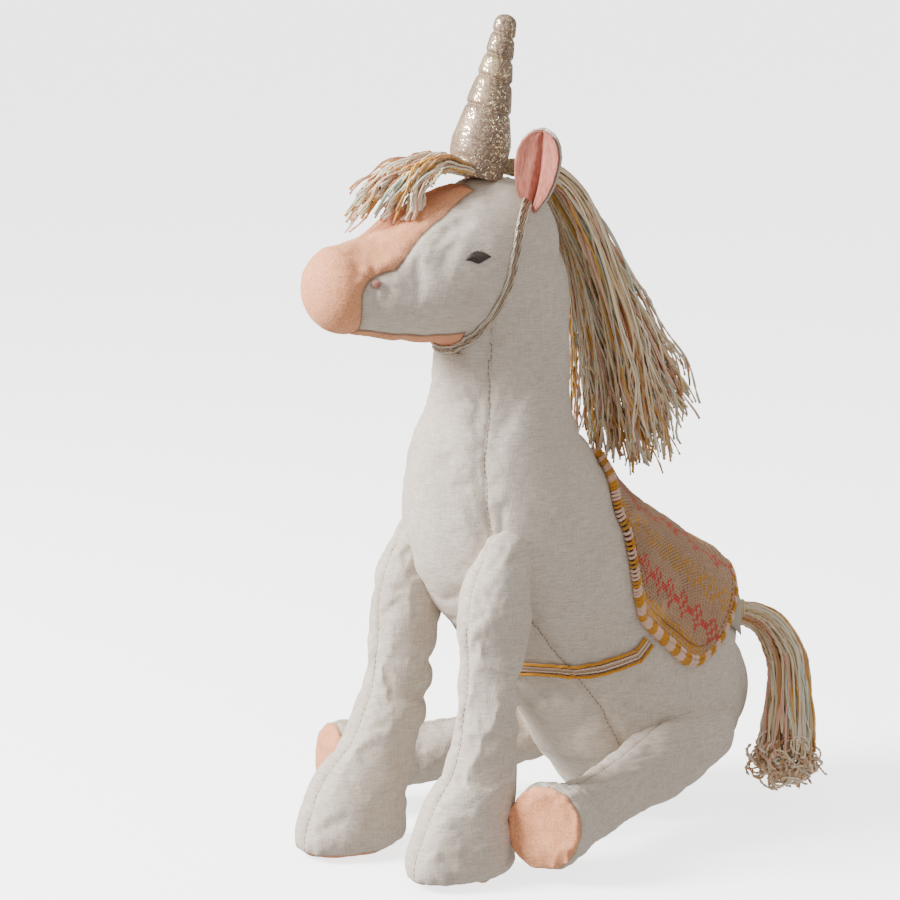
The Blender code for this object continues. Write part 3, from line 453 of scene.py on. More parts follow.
# ------------------------------------------------------------ materials
def lin(r, g, b):
    def one(c):
        c = c / 255.0
        return c / 12.92 if c <= 0.04045 else ((c + 0.055) / 1.055) ** 2.4

    return (one(r), one(g), one(b), 1.0)


class Look:
    """A Principled material built up node by node."""

    def __init__(self, name, rough=0.9, metallic=0.0):
        self.material = bpy.data.materials.new(name)
        self.material.use_nodes = True
        self.tree = self.material.node_tree
        self.shader = self.tree.nodes["Principled BSDF"]
        self.shader.inputs["Roughness"].default_value = rough
        self.shader.inputs["Metallic"].default_value = metallic
        self.at = self.attribute("rest", "Vector")

    def attribute(self, name, out="Fac"):
        n = self.tree.nodes.new("ShaderNodeAttribute")
        n.attribute_name = name
        return n.outputs[out]

    def link(self, value, socket):
        if isinstance(value, bpy.types.NodeSocket):
            self.tree.links.new(value, socket)
        else:
            socket.default_value = value

    def scaled(self, x, y, z):
        n = self.tree.nodes.new("ShaderNodeMapping")
        n.inputs["Scale"].default_value = (x, y, z)
        self.link(self.at, n.inputs["Vector"])
        return n.outputs["Vector"]

    def noise(self, scale, detail=2.0, vector=None, out="Fac", roughness=0.5):
        n = self.tree.nodes.new("ShaderNodeTexNoise")
        n.inputs["Scale"].default_value = scale
        n.inputs["Detail"].default_value = detail
        n.inputs["Roughness"].default_value = roughness
        self.link(vector or self.at, n.inputs["Vector"])
        return n.outputs[out]

    def cells(self, scale, out="Distance", vector=None):
        n = self.tree.nodes.new("ShaderNodeTexVoronoi")
        n.inputs["Scale"].default_value = scale
        self.link(vector or self.at, n.inputs["Vector"])
        return n.outputs[out]

    def wave(self, scale, direction, distort=0.0):
        n = self.tree.nodes.new("ShaderNodeTexWave")
        n.bands_direction = direction
        n.inputs["Scale"].default_value = scale
        n.inputs["Distortion"].default_value = distort
        n.inputs["Detail Scale"].default_value = 1.5
        self.link(self.at, n.inputs["Vector"])
        return n.outputs["Fac"]

    def math(self, kind, a, b=0.0, c=0.0):
        n = self.tree.nodes.new("ShaderNodeMath")
        n.operation = kind
        for v, s in zip((a, b, c), n.inputs):
            self.link(v, s)
        return n.outputs[0]

    def ramp(self, value, low, high, to_low=0.0, to_high=1.0):
        n = self.tree.nodes.new("ShaderNodeMapRange")
        n.interpolation_type = "SMOOTHSTEP"
        for v, s in zip((value, low, high, to_low, to_high), n.inputs):
            self.link(v, s)
        return n.outputs[0]

    def mix(self, share, a, b, blend="MIX"):
        n = self.tree.nodes.new("ShaderNodeMix")
        n.data_type = "RGBA"
        n.blend_type = blend
        self.link(share, n.inputs[0])
        self.link(a, n.inputs[6])
        self.link(b, n.inputs[7])
        return n.outputs[2]

    def bump(self, height, strength, distance):
        n = self.tree.nodes.new("ShaderNodeBump")
        n.inputs["Strength"].default_value = strength
        n.inputs["Distance"].default_value = distance
        self.link(height, n.inputs["Height"])
        old = self.shader.inputs["Normal"]
        if old.links:
            self.link(old.links[0].from_socket, n.inputs["Normal"])
        self.link(n.outputs[0], old)

    def finish(self, colour, sheen=0.0, tint=None, sheen_rough=0.5, specular=0.3):
        self.link(colour, self.shader.inputs["Base Color"])
        self.shader.inputs["Sheen Weight"].default_value = sheen
        self.shader.inputs["Sheen Roughness"].default_value = sheen_rough
        if tint:
            self.shader.inputs["Sheen Tint"].default_value = tint
        self.shader.inputs["Specular IOR Level"].default_value = specular
        return self.material


def linen_colour(k, base=(215, 203, 190), shade=(184, 170, 155)):
    across = k.noise(1.0, 3, k.scaled(170, 170, 2300))
    upright = k.noise(1.0, 3, k.scaled(2100, 2100, 150))
    nap = k.noise(330, 4)
    broad = k.noise(28, 2)
    weave = k.math("ADD", k.math("MULTIPLY", across, 0.55), k.math("MULTIPLY", upright, 0.45))
    c = k.mix(k.ramp(weave, 0.36, 0.66), lin(*shade), lin(*base))
    c = k.mix(k.ramp(nap, 0.35, 0.75, 0.0, 0.28), c, lin(218, 209, 194))
    c = k.mix(k.ramp(broad, 0.3, 0.8, 0.0, 0.22), c, lin(172, 156, 140))
    fleck = k.ramp(k.noise(1.0, 2, k.scaled(620, 620, 900)), 0.72, 0.80, 0.0, 0.45)
    return k.mix(fleck, c, lin(150, 128, 100)), weave, nap


def weave_bump(k, weave, nap):
    threads = k.math("MULTIPLY", k.wave(560, "Z", 2.0), 0.5)
    threads = k.math("ADD", threads, k.math("MULTIPLY", k.wave(560, "DIAGONAL", 2.5), 0.35))
    k.bump(threads, 0.5, 0.00026)
    k.bump(weave, 0.6, 0.0007)
    k.bump(nap, 0.4, 0.0007)


def velour_colour(k):
    pile = k.noise(1500, 4)
    broad = k.noise(55, 3)
    c = k.mix(k.ramp(pile, 0.3, 0.7), lin(208, 134, 94), lin(241, 174, 132))
    return k.mix(k.ramp(broad, 0.3, 0.75, 0.0, 0.35), c, lin(220, 144, 100)), pile


def skin_look(name):
    """Linen with velour where the zone is negative, a stitched line where the seam is near, and painted shade
    in the valley beside each seam.
    """
    k = Look(name, 0.95)
    linen, weave, nap = linen_colour(k)
    velour, pile = velour_colour(k)
    inside = k.ramp(k.attribute("zone"), -0.00025, 0.00025, 1.0, 0.0)
    c = k.mix(inside, linen, velour)
    line = k.ramp(k.attribute("seam"), 0.00015, 0.00075, 0.62, 0.0)
    # painted shade: a soft darker band beside each seam, where the puffed cloth dips in and shade falls
    near = k.ramp(k.attribute("seam"), 0.0003, 0.0035, 0.20, 0.0)
    c = k.mix(near, c, lin(158, 140, 120))
    c = k.mix(line, c, lin(105, 84, 66))
    weave_bump(k, weave, nap)
    k.bump(pile, 0.30, 0.0006)
    return k.finish(c, 0.12, lin(255, 244, 228), 0.5, 0.12)


def lining_look():
    k = Look("Ear_Lining_Satin", 0.72)
    w = k.noise(1.0, 3, k.scaled(1500, 1500, 260))
    c = k.mix(k.ramp(w, 0.3, 0.7), lin(164, 92, 76), lin(190, 122, 104))
    c = k.mix(k.ramp(k.noise(60, 3), 0.35, 0.75, 0.0, 0.4), c, lin(140, 74, 60))
    k.bump(w, 0.35, 0.0004)
    return k.finish(c, 0.35, lin(255, 214, 200), 0.4, 0.25)


def glitter_look():
    k = Look("Glitter_Weave", 0.42, 0.35)
    flake = k.cells(1500, "Color")
    bright = k.tree.nodes.new("ShaderNodeSeparateColor")
    k.link(flake, bright.inputs[0])
    one, two, three = bright.outputs[0], bright.outputs[1], bright.outputs[2]
    broad = k.noise(70, 4)
    c = k.mix(one, lin(104, 80, 64), lin(166, 138, 114))
    c = k.mix(k.ramp(broad, 0.45, 0.75, 0.0, 0.55), c, lin(206, 174, 134))
    spark = k.ramp(k.math("ADD", two, k.math("MULTIPLY", broad, 0.55)), 1.08, 1.14)
    c = k.mix(spark, c, lin(255, 236, 186))
    dark = k.ramp(three, 0.80, 0.92, 0.0, 0.55)
    c = k.mix(dark, c, lin(82, 62, 50))
    k.link(k.ramp(spark, 0.0, 1.0, 0.25, 0.95), k.shader.inputs["Metallic"])
    k.link(k.ramp(spark, 0.0, 1.0, 0.50, 0.16), k.shader.inputs["Roughness"])
    k.bump(one, 0.9, 0.0007)
    k.bump(k.noise(1.0, 2, k.scaled(900, 900, 2400)), 0.3, 0.0004)
    return k.finish(c, 0.1, None, 0.5, 0.6)


def yarn_look(name, rough=0.9):
    k = Look(name, rough)
    tint = k.attribute("tint", "Color")
    fine = k.noise(1.0, 3, k.scaled(1300, 1300, 2600))
    c = k.mix(k.ramp(fine, 0.3, 0.75, 0.0, 0.30), tint, lin(255, 246, 230), "MULTIPLY")
    c = k.mix(k.ramp(fine, 0.55, 0.85, 0.0, 0.30), c, lin(120, 92, 62))
    k.bump(fine, 0.5, 0.0004)
    return k.finish(c, 0.4, lin(255, 245, 228), 0.4, 0.2)


def elastic_look():
    k = Look("Metallic_Elastic", 0.35, 0.55)
    tint = k.attribute("tint", "Color")
    braid = k.wave(700, "DIAGONAL", 1.0)
    c = k.mix(k.ramp(braid, 0.2, 0.8, 0.0, 0.7), tint, lin(112, 88, 74))
    c = k.mix(k.ramp(k.noise(1900, 2), 0.62, 0.70, 0.0, 0.8), c, lin(255, 250, 232))
    k.bump(braid, 0.6, 0.0003)
    return k.finish(c, 0.05, None, 0.5, 0.6)


def thread_look(name, colour, rough=0.7):
    k = Look(name, rough)
    fine = k.noise(2600, 2)
    dark = tuple(x * 0.6 for x in colour[:3]) + (1.0,)
    c = k.mix(k.ramp(fine, 0.3, 0.7), dark, colour)
    k.bump(fine, 0.5, 0.0003)
    return k.finish(c, 0.15, None, 0.5, 0.3)


def eye_look():
    k = Look("Eye_Stitching", 0.42)
    fine = k.noise(1.0, 3, k.scaled(900, 900, 4200))
    c = k.mix(k.ramp(fine, 0.35, 0.7), lin(24, 18, 14), lin(72, 55, 42))
    k.bump(fine, 0.6, 0.0004)
    return k.finish(c, 0.1, None, 0.5, 0.45)


SKIN = skin_look("Linen_And_Velour")
YARN = yarn_look("Hair_Yarn")
KNIT = yarn_look("Blanket_Yarn")
SEAM_THREAD = thread_look("Seam_Thread", lin(132, 110, 90))


def dress(obj, material):
    obj.data.materials.clear()
    obj.data.materials.append(material)
    return obj


# ------------------------------------------------------------ body, neck and head
def tube_line(form, v0, v1, turn, count=160):
    return dense(form(np.linspace(v0, v1, count), turn, 0.0))


def polygon_distance(p, poly):
    """Signed distance in a plane, negative inside."""
    poly = np.asarray(poly, float)
    best = np.full(len(p), 1e9)
    inside = np.zeros(len(p), bool)
    for a, b in zip(poly, np.roll(poly, -1, axis=0)):
        e, w = b - a, p - a
        h = np.clip((w @ e) / (e @ e), 0, 1)
        best = np.minimum(best, np.linalg.norm(w - h[:, None] * e, axis=1))
        crosses = (a[1] > p[:, 1]) != (b[1] > p[:, 1])
        x = a[0] + (p[:, 1] - a[1]) * (b[0] - a[0]) / np.where(b[1] == a[1], 1e-9, b[1] - a[1])
        inside ^= crosses & (p[:, 0] < x)
    return np.where(inside, -best, best)


FACE_TOP = [
    (-0.0120, -0.1180), (0.0120, -0.1180), (0.0190, -0.1380), (0.0204, -0.1560), (0.0212, -0.1680),
    (0.0225, -0.1760), (0.0300, -0.1850), (0.0600, -0.1920), (0.0600, -0.2300), (-0.0600, -0.2300),
    (-0.0600, -0.1920), (-0.0300, -0.1850), (-0.0225, -0.1760), (-0.0212, -0.1680), (-0.0204, -0.1560),
    (-0.0190, -0.1380),
]
MUZZLE_SIDE = [
    (-0.1790, 0.2560), (-0.1815, 0.2640), (-0.1830, 0.2740), (-0.1825, 0.2820), (-0.1785, 0.2890),
    (-0.1710, 0.2960), (-0.1710, 0.40), (-0.26, 0.40), (-0.26, 0.20), (-0.1790, 0.20),
]


def smooth_min(a, b, k):
    h = np.clip(0.5 + 0.5 * (b - a) / k, 0, 1)
    return b * (1 - h) + a * h - k * h * (1 - h)


def face_fields(points):
    """Signed distances to the face panel and the chin panel."""
    q = about_neck(points, -HEAD_TURN) - SHIFT
    blaze = np.maximum(polygon_distance(q[:, :2], FACE_TOP), 0.2850 - q[:, 2])
    muzzle = polygon_distance(q[:, 1:], MUZZLE_SIDE)
    face = smooth_min(blaze, muzzle, 0.018)
    jaw = q[:, 2] - 0.2515 - 0.14 * np.clip(-q[:, 1] - 0.150, 0.0, 0.03)
    chin = np.maximum.reduce([jaw, q[:, 1] + 0.1270, -(q[:, 1] + 0.1850)])
    return face, chin


def ringed(form, v_values, around, depth=0.0):
    turns = np.arange(around) * 2 * PI / around + DOWN
    vv, tt = np.meshgrid(v_values, turns, indexing="ij")
    return form(vv, tt, depth)


body_seams = [
    tube_line(torso, 0.02, 0.79, DOWN + GUSSET),
    tube_line(torso, 0.02, 0.79, DOWN - GUSSET),
    tube_line(torso, 0.03, 0.80, PI / 2),
    dense(torso(np.full(60, 0.453), np.linspace(DOWN - GUSSET, DOWN + GUSSET, 60), 0.0)),
]
body_seams.append(tube_line(head, 0.10, 0.40, PI / 2))


def cheek_turn(side):
    """Turn round the head of the eye and the nostril of one side."""
    return CHEEK_TURN if side > 0 else PI - CHEEK_TURN


def make_body():
    """Trunk, neck and head as one sewn skin, with the face and chin panels marked by the zone."""
    part = closed_grid("Body_Skin", ringed(torso, np.linspace(0.006, 1.0, 150), 110, 0.0006))
    other = closed_grid("Head_Form", ringed(head, np.linspace(0.006, 0.994, 90), 90, 0.0006))
    outward(part)
    outward(other)
    with bpy.context.temp_override(
        active_object=part, selected_editable_objects=[part, other], selected_objects=[part, other]
    ):
        bpy.ops.object.join()
    body = voxels(part, 0.0034)
    co = coords(body)
    q = about_neck(co, -HEAD_TURN) - SHIFT
    throat = np.exp(-(((q[:, 2] - 0.262) / 0.016) ** 2)) * np.clip((0.03 + q[:, 1] + 0.165) / 0.02, 0, 1)
    relax(body, 0.6, 7, np.clip(throat, 0, 1))
    relax(body, 0.5, 2)
    face, chin = face_fields(coords(body))
    lines = list(body_seams)
    near_face = coords(body)[(np.abs(face) < 0.0018) & (coords(body)[:, 2] > 0.24)]
    if len(near_face):
        lines.append(near_face)
    puffed(body, lines, 0.035, 0.0016)
    subdivide(body, 2)
    co = coords(body)
    face, chin = face_fields(co)
    on_head = np.clip((co[:, 2] - 0.238) / 0.006, 0, 1)
    seam = seam_distance(co, body_seams)
    face_seam = np.where(on_head > 0.5, np.abs(face), 1.0)
    chin_seam = np.where((on_head > 0.5) & (face > -0.001), np.abs(chin), 1.0)
    seam = np.minimum(np.minimum(seam, face_seam), chin_seam)
    zone = np.where(on_head > 0.5, np.minimum(face, chin), 1.0)
    n = normals(body)
    pull = np.exp(-((seam / 0.0013) ** 2)) * 0.00075 + np.exp(-((seam / 0.0045) ** 2)) * 0.0004
    pucker = hash_noise(co, 190, 3) * np.exp(-((seam / 0.006) ** 2)) * 0.00035
    lumps = hash_noise(co, 34, 1) * 0.00055 + hash_noise(co, 85, 2) * 0.00018
    co = co + n * (lumps + pucker - pull)[:, None]
    nap = np.where(zone < 0, 0.0004, 0.0)
    co = co + n * nap[:, None]
    for side in (1, -1):
        turn = cheek_turn(side)
        spot = head(np.array([NOSTRIL_V]), np.array([turn]))[0]
        r = np.linalg.norm(co - spot, axis=1)
        ang = np.arctan2(co[:, 2] - spot[2], co[:, 1] - spot[1])
        co = co - n * (np.exp(-((r / 0.0034) ** 2)) * 0.0017)[:, None]
        folds = np.cos(6 * ang + 0.6) * np.exp(-((r - 0.0065) ** 2) / 0.0035**2)
        co = co + n * (folds * 0.00045)[:, None]
        spot = head(np.array([EYE_V]), np.array([turn]))[0]
        r = np.linalg.norm(co - spot, axis=1)
        co = co - n * (np.exp(-((r / 0.0075) ** 2)) * 0.0008)[:, None]
    co[:, 2] = np.maximum(co[:, 2], 0.0)
    set_coords(body, co)
    keep_rest(body)
    put(body, "zone", zone)
    put(body, "seam", seam)
    dress(body, SKIN)
    return body


def skin_tree(obj):
    points = [tuple(p) for p in coords(obj)]
    return BVHTree.FromPolygons(points, [tuple(face.vertices) for face in obj.data.polygons])


def lifted(tree, points, lift):
    """Points moved to the nearest skin and then lifted off it."""
    out = []
    for p in np.asarray(points, float).reshape(-1, 3):
        hit, normal, _, _ = tree.find_nearest(Vector(p))
        out.append(np.array(hit) + np.array(normal) * lift)
    return np.array(out).reshape(np.shape(points))


body = make_body()
body_tree = skin_tree(body)


def on_body(points, lift):
    return lifted(body_tree, points, lift)


def body_normal(points):
    flat = np.asarray(points).reshape(-1, 3)
    return np.array([body_tree.find_nearest(Vector(p))[1] for p in flat]).reshape(np.shape(points))


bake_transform(body)
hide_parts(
    "Torso_Side_Left_Linen", "Torso_Side_Right_Linen", "Belly_Gusset_Linen", "Chest_Gusset_Linen",
    "Torso_Stuffing", "Face_Panel_Velour", "Chin_Panel_Velour", "Head_Side_Left_Linen",
    "Head_Side_Right_Linen", "Head_Stuffing",
)


# ------------------------------------------------------------ legs
def crease(v, turn, at, facing, wide, deep, tall=0.014):
    """A fold across a leg, deepest on the side it faces."""
    swing = np.cos(turn - facing)
    return deep * np.exp(-(((v - at) / tall) ** 2)) * np.clip(swing + wide, 0, 1) ** 2


def make_leg(title, body_name, rows, creases, end_dome):
    form = tube(rows, (1, 0, 0), rows[0][4], end_dome, floor=0.0)
    turns = np.arange(72) * 2 * PI / 72 + DOWN
    v, t = np.meshgrid(np.linspace(0.004, 0.996, 130), turns, indexing="ij")
    depth = np.full(v.shape, 0.0005)
    for at, facing, wide, deep in creases:
        depth = depth + crease(v, t, at, facing, wide, deep)
        depth = depth - crease(v, t, at + 0.035, facing, wide, deep * 0.8, 0.018)
    leg = outward(closed_grid(title + "_Skin", form(v, t, depth)))
    voxels(leg, 0.0030)
    relax(leg, 0.5, 1)
    end = np.asarray(rows[-1][:3]) + SHIFT
    if rows[-1][2] < 0.01:
        axis = np.array((0, 0, -1.0))
    else:
        axis = unit(np.asarray(rows[-1][:3]) - np.asarray(rows[-3][:3]))
    rim = form(np.full(90, 0.885), np.linspace(0, 2 * PI, 90), 0.0)
    seams = [tube_line(form, 0.05, 0.88, DOWN), tube_line(form, 0.05, 0.88, PI / 2), dense(rim)]
    puffed(leg, seams, 0.05, 0.0015)
    subdivide(leg, 2)
    co = coords(leg)
    n = normals(leg)
    reach = (co - end) @ axis
    rim_at = 0.0002 if rows[-1][2] < 0.01 else -0.0024
    zone = np.where(reach > -0.02, rim_at - reach, 1.0)
    seam = np.minimum(seam_distance(co, seams[:2]), np.abs(reach - rim_at) + 0.0001)
    pull = np.exp(-((seam / 0.0013) ** 2)) * 0.0007 + np.exp(-((seam / 0.004) ** 2)) * 0.0003
    pucker = hash_noise(co, 210, 5) * np.exp(-((seam / 0.006) ** 2)) * 0.0004
    lumps = hash_noise(co, 45, 6) * 0.0006 + hash_noise(co, 110, 7) * 0.0002
    co = co + n * (lumps + pucker - pull)[:, None]
    co[:, 2] = np.maximum(co[:, 2], 0.0)
    set_coords(leg, co)
    keep_rest(leg)
    put(leg, "zone", zone)
    put(leg, "seam", seam)
    dress(leg, SKIN)
    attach(leg, body_name)
    cad_parts = ("Outer_Linen", "Inner_Linen", "Sole_Velour", "Stuffing")
    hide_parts(*[f"{title}_{part}" for part in cad_parts])
    return leg, form


BACK = DOWN
legs = {}
legs["Front_Leg_Left"] = make_leg(
    "Front_Leg_Left", "front_leg_left", FRONT_LEFT,
    [
        (0.36, BACK, 0.1, 0.0030), (0.42, BACK + 0.5, 0.1, 0.0022),
        (0.30, 0.0, 0.0, 0.0012), (0.62, BACK, 0.0, 0.0012),
    ],
    0.0022,
)
legs["Front_Leg_Right"] = make_leg(
    "Front_Leg_Right", "front_leg_right", FRONT_RIGHT,
    [(0.36, BACK, 0.1, 0.0026), (0.43, BACK + 0.9, 0.1, 0.0020), (0.60, BACK, 0.0, 0.0014)],
    0.0022,
)
legs["Hind_Leg_Left"] = make_leg(
    "Hind_Leg_Left", "hind_leg_left", HIND_LEFT,
    [(0.66, PI / 2, 0.1, 0.0022), (0.72, PI / 2 + 0.5, 0.1, 0.0018), (0.58, 0.4, 0.0, 0.0012)],
    0.0035,
)
legs["Hind_Leg_Right"] = make_leg(
    "Hind_Leg_Right", "hind_leg_right", HIND_RIGHT,
    [(0.66, PI / 2, 0.1, 0.0018), (0.30, PI / 2, 0.0, 0.0012)],
    0.0035,
)


# ------------------------------------------------------------ seam stitches
def stitch_mesh(name, line, tree, length=0.0021, gap=0.0009, radius=0.00022):
    """A row of stitches lying just in the skin along a line."""
    line = lifted(tree, dense(line, 0.0004), SEAM_DEPTH)
    step = np.linalg.norm(np.diff(line, axis=0), axis=1)
    s = np.concatenate([[0], np.cumsum(step)])
    starts = np.arange(0, s[-1] - length, length + gap)
    t = starts[:, None] + np.linspace(0, length, 4)[None]
    paths = np.stack([np.interp(t, s, line[:, k]) for k in range(3)], -1)
    obj = strands(name, paths, radius, np.tile(lin(132, 110, 90)[:3], (len(paths), 1)), 5, 1)
    dress(obj, SEAM_THREAD)
    return obj


body_lines = [
    (f"{part}_Seam_{title}", v0, v1, DOWN + side * GUSSET)
    for part, v0, v1 in (("Chest", 0.40, 0.72), ("Belly", 0.06, 0.40))
    for title, side in (("Left", 1), ("Right", -1))
]
body_lines.append(("Back_Seam", 0.05, 0.25, PI / 2))
seam_pieces = [
    stitch_mesh(name, tube_line(torso, v0, v1, turn), body_tree) for name, v0, v1, turn in body_lines
]
for seam_piece in seam_pieces:
    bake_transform(seam_piece)
for title, (leg, form) in legs.items():
    tree = skin_tree(leg)
    for edge, turn in (("Front", PI / 2), ("Back", DOWN)):
        piece = stitch_mesh(f"{title}_Seam_{edge}", tube_line(form, 0.14, 0.87, turn), tree)
        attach(piece, title.lower())


# ------------------------------------------------------------ horn
HORN_BASE = np.array(joint["horn_tilt"]["pos_m"])
HORN_LENGTH = 0.0700
lean = Matrix.Rotation(HEAD_TURN, 3, "Z") @ Matrix.Rotation(math.radians(-13.5), 3, "X")
HORN_AXES = np.array(lean)


def horn_place(p):
    return np.asarray(p) @ HORN_AXES.T + HORN_BASE


GROOVES = np.array((-0.05, 0.357, 0.56, 0.713, 0.86, 1.10)) * HORN_LENGTH
HORN_SHARES = (0, 0.14, 0.357, 0.56, 0.713, 0.86, 1)
HORN_RADII = (0.0138, 0.0139, 0.0112, 0.0087, 0.0070, 0.0058, 0.0047)
GROOVE_TILT, GROOVE_TURN = 0.11 * 0.010, 0.9
heights = np.linspace(-0.0075, HORN_LENGTH, 180)
turn = np.arange(96) * 2 * PI / 96
zz, tt = np.meshgrid(heights, turn, indexing="ij")
tilted = zz + GROOVE_TILT * np.cos(tt - GROOVE_TURN) * np.clip(zz / 0.012, 0, 1)
wide = np.interp(zz / HORN_LENGTH, HORN_SHARES, HORN_RADII)
gap = np.min(np.abs(tilted[..., None] - GROOVES[1:5]), axis=-1)
below = np.searchsorted(GROOVES, tilted.ravel()).reshape(tilted.shape)
low = GROOVES[np.clip(below - 1, 0, 5)]
high = GROOVES[np.clip(below, 0, 5)]
part_way = np.clip((tilted - low) / np.maximum(high - low, 1e-6), 0, 1)
radius = wide * (0.95 + 0.055 * np.sin(PI * part_way**0.8)) - 0.0009 * np.exp(-((gap / 0.0010) ** 2))
tip = np.clip((HORN_LENGTH - zz) / 0.0040, 0, 1)
radius = radius * np.sqrt(np.clip(1 - (1 - tip) ** 2, 0.0004, 1))
radius = radius * (1 - 0.05 * np.exp(-((zz / 0.0022) ** 2)))
wrinkle = np.sin(tt * 17 + zz * 900) * np.exp(-((gap / 0.003) ** 2)) * 0.00018
radius = radius + wrinkle + hash_noise(np.stack([np.cos(tt), np.sin(tt), zz * 60], -1), 2.2, 4) * 0.00022
horn = closed_grid("Horn_Cover", horn_place(np.stack([radius * np.cos(tt), radius * np.sin(tt), zz], -1)))
keep_rest(horn)
dress(horn, glitter_look())
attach(horn, "horn")
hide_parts("Horn_Glitter_Cover", "Horn_Stuffing", "Horn_Base_Felt")
rings = []
turn = np.linspace(0, 2 * PI, 60)
for g in GROOVES[1:5]:
    r = float(np.interp(g / HORN_LENGTH, HORN_SHARES, HORN_RADII)) * 0.95 - 0.00075
    h = g - GROOVE_TILT * np.cos(turn - GROOVE_TURN)
    rings.append(horn_place(np.stack([r * np.cos(turn), r * np.sin(turn), h], -1)))
horn_tint = np.tile(lin(172, 148, 120)[:3], (4, 1))
horn_thread = strands("Horn_Thread", np.array(rings), 0.00030, horn_tint, 6, 2, 0.0014)
dress(horn_thread, thread_look("Horn_Thread_Look", lin(190, 165, 135), 0.5))
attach(horn_thread, "horn")


# ------------------------------------------------------------ chin elastic
share = np.linspace(0, 1, 150)
turns = np.radians(84.0 - 348.0 * share)
lowness = 0.5 - 0.5 * np.sin(turns)
band = on_body(head(0.190 + 0.232 * lowness, turns, 0.0), 0.0)
for _ in range(10):
    band[1:-1] = (band[:-2] + 2 * band[1:-1] + band[2:]) / 4
band = on_body(band, 0.0006)
along = unit(np.gradient(band, axis=0))
out = body_normal(band)
aside = unit(np.cross(out, along))
offsets = (-0.0019, -0.0006, 0.0006, 0.0019)
tones = (lin(238, 226, 204), lin(188, 162, 134), lin(204, 180, 152), lin(238, 226, 204))
paths = np.array([on_body(band + aside * o, 0.0009) for o in offsets])
radii = np.array((0.00078, 0.00060, 0.00060, 0.00078))
elastic = strands("Elastic_Cords", paths, radii, np.array([t[:3] for t in tones]), 6, 2, 0.0016)
dress(elastic, elastic_look())
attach(elastic, "head")
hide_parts("Chin_Elastic")


# ------------------------------------------------------------ eyes and nostrils
def tangent_frame(v, turn):
    """A spot on the head with its forward, upward and outward directions."""
    spot = on_body(head(np.array([v]), np.array([turn])), 0.0)[0]
    out = body_normal(spot[None])[0]
    fore = about_neck(NECK + np.array((0.0, -1.0, 0.0))) - NECK
    fore = unit(fore - out * (fore @ out))
    up = np.cross(fore, out)
    if up[2] < 0:
        up = -up
    return spot, fore, up, out


EYE_TOP = (-1.0, -0.75, -0.42, -0.05, 0.35, 0.72, 1.0), (-0.22, 0.18, 0.66, 0.78, 0.64, 0.26, -0.04)
EYE_LOW = (-1.0, -0.62, -0.30, 0.0, 0.30, 0.66, 1.0), (-0.22, -0.34, -0.62, -0.80, -0.60, -0.30, -0.04)
HALF_EYE, HALF_HIGH = 0.0062, 0.0037
EYE = eye_look()
for side, title in ((1, "Left"), (-1, "Right")):
    turn = cheek_turn(side)
    spot, fore, up, out = tangent_frame(EYE_V, turn)
    x = np.linspace(-0.97, 0.97, 44)
    top = np.interp(x, *EYE_TOP) + rng.normal(0, 0.02, 44)
    low = np.interp(x, *EYE_LOW) + rng.normal(0, 0.02, 44)
    h = np.linspace(0, 1, 9)
    high = low[:, None] + (top - low)[:, None] * h
    flat = spot - fore * (x[:, None, None] * HALF_EYE) + up * (high[..., None] * HALF_HIGH)
    lift = 0.0003 + 0.0007 * np.sin(PI * h)[None] * np.sqrt(np.clip(1 - x[:, None] ** 2, 0, 1))
    base = on_body(flat.reshape(-1, 3), 0.0)
    paths = (base + out * lift.reshape(-1, 1)).reshape(flat.shape)
    eye = strands(f"Eye_Stitches_{title}", paths, 0.00024, np.tile(lin(40, 30, 24)[:3], (44, 1)), 5, 1)
    dress(eye, EYE)
    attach(eye, "head")
    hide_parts(f"Eye_{title}")
    knot_spot, fore, up, out = tangent_frame(NOSTRIL_V, turn)
    a = np.linspace(0, 1, 110)
    swing = 2 * PI * 7 * a
    polar = PI * (0.03 + 0.94 * a)
    ball = np.stack([np.sin(polar) * np.cos(swing), np.sin(polar) * np.sin(swing), np.cos(polar)], -1)
    centre = knot_spot + out * 0.0007
    path = centre + 0.0019 * (ball[:, :1] * fore + ball[:, 1:2] * up * 0.9 + ball[:, 2:] * out * 0.62)
    knot = strands(f"Nostril_{title}", path[None], 0.00042, np.array([lin(186, 126, 108)[:3]]), 6, 1)
    dress(knot, thread_look(f"Nostril_Thread_{title}", lin(188, 130, 112), 0.75))
    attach(knot, "head")
    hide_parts(f"Nostril_Knot_{title}")


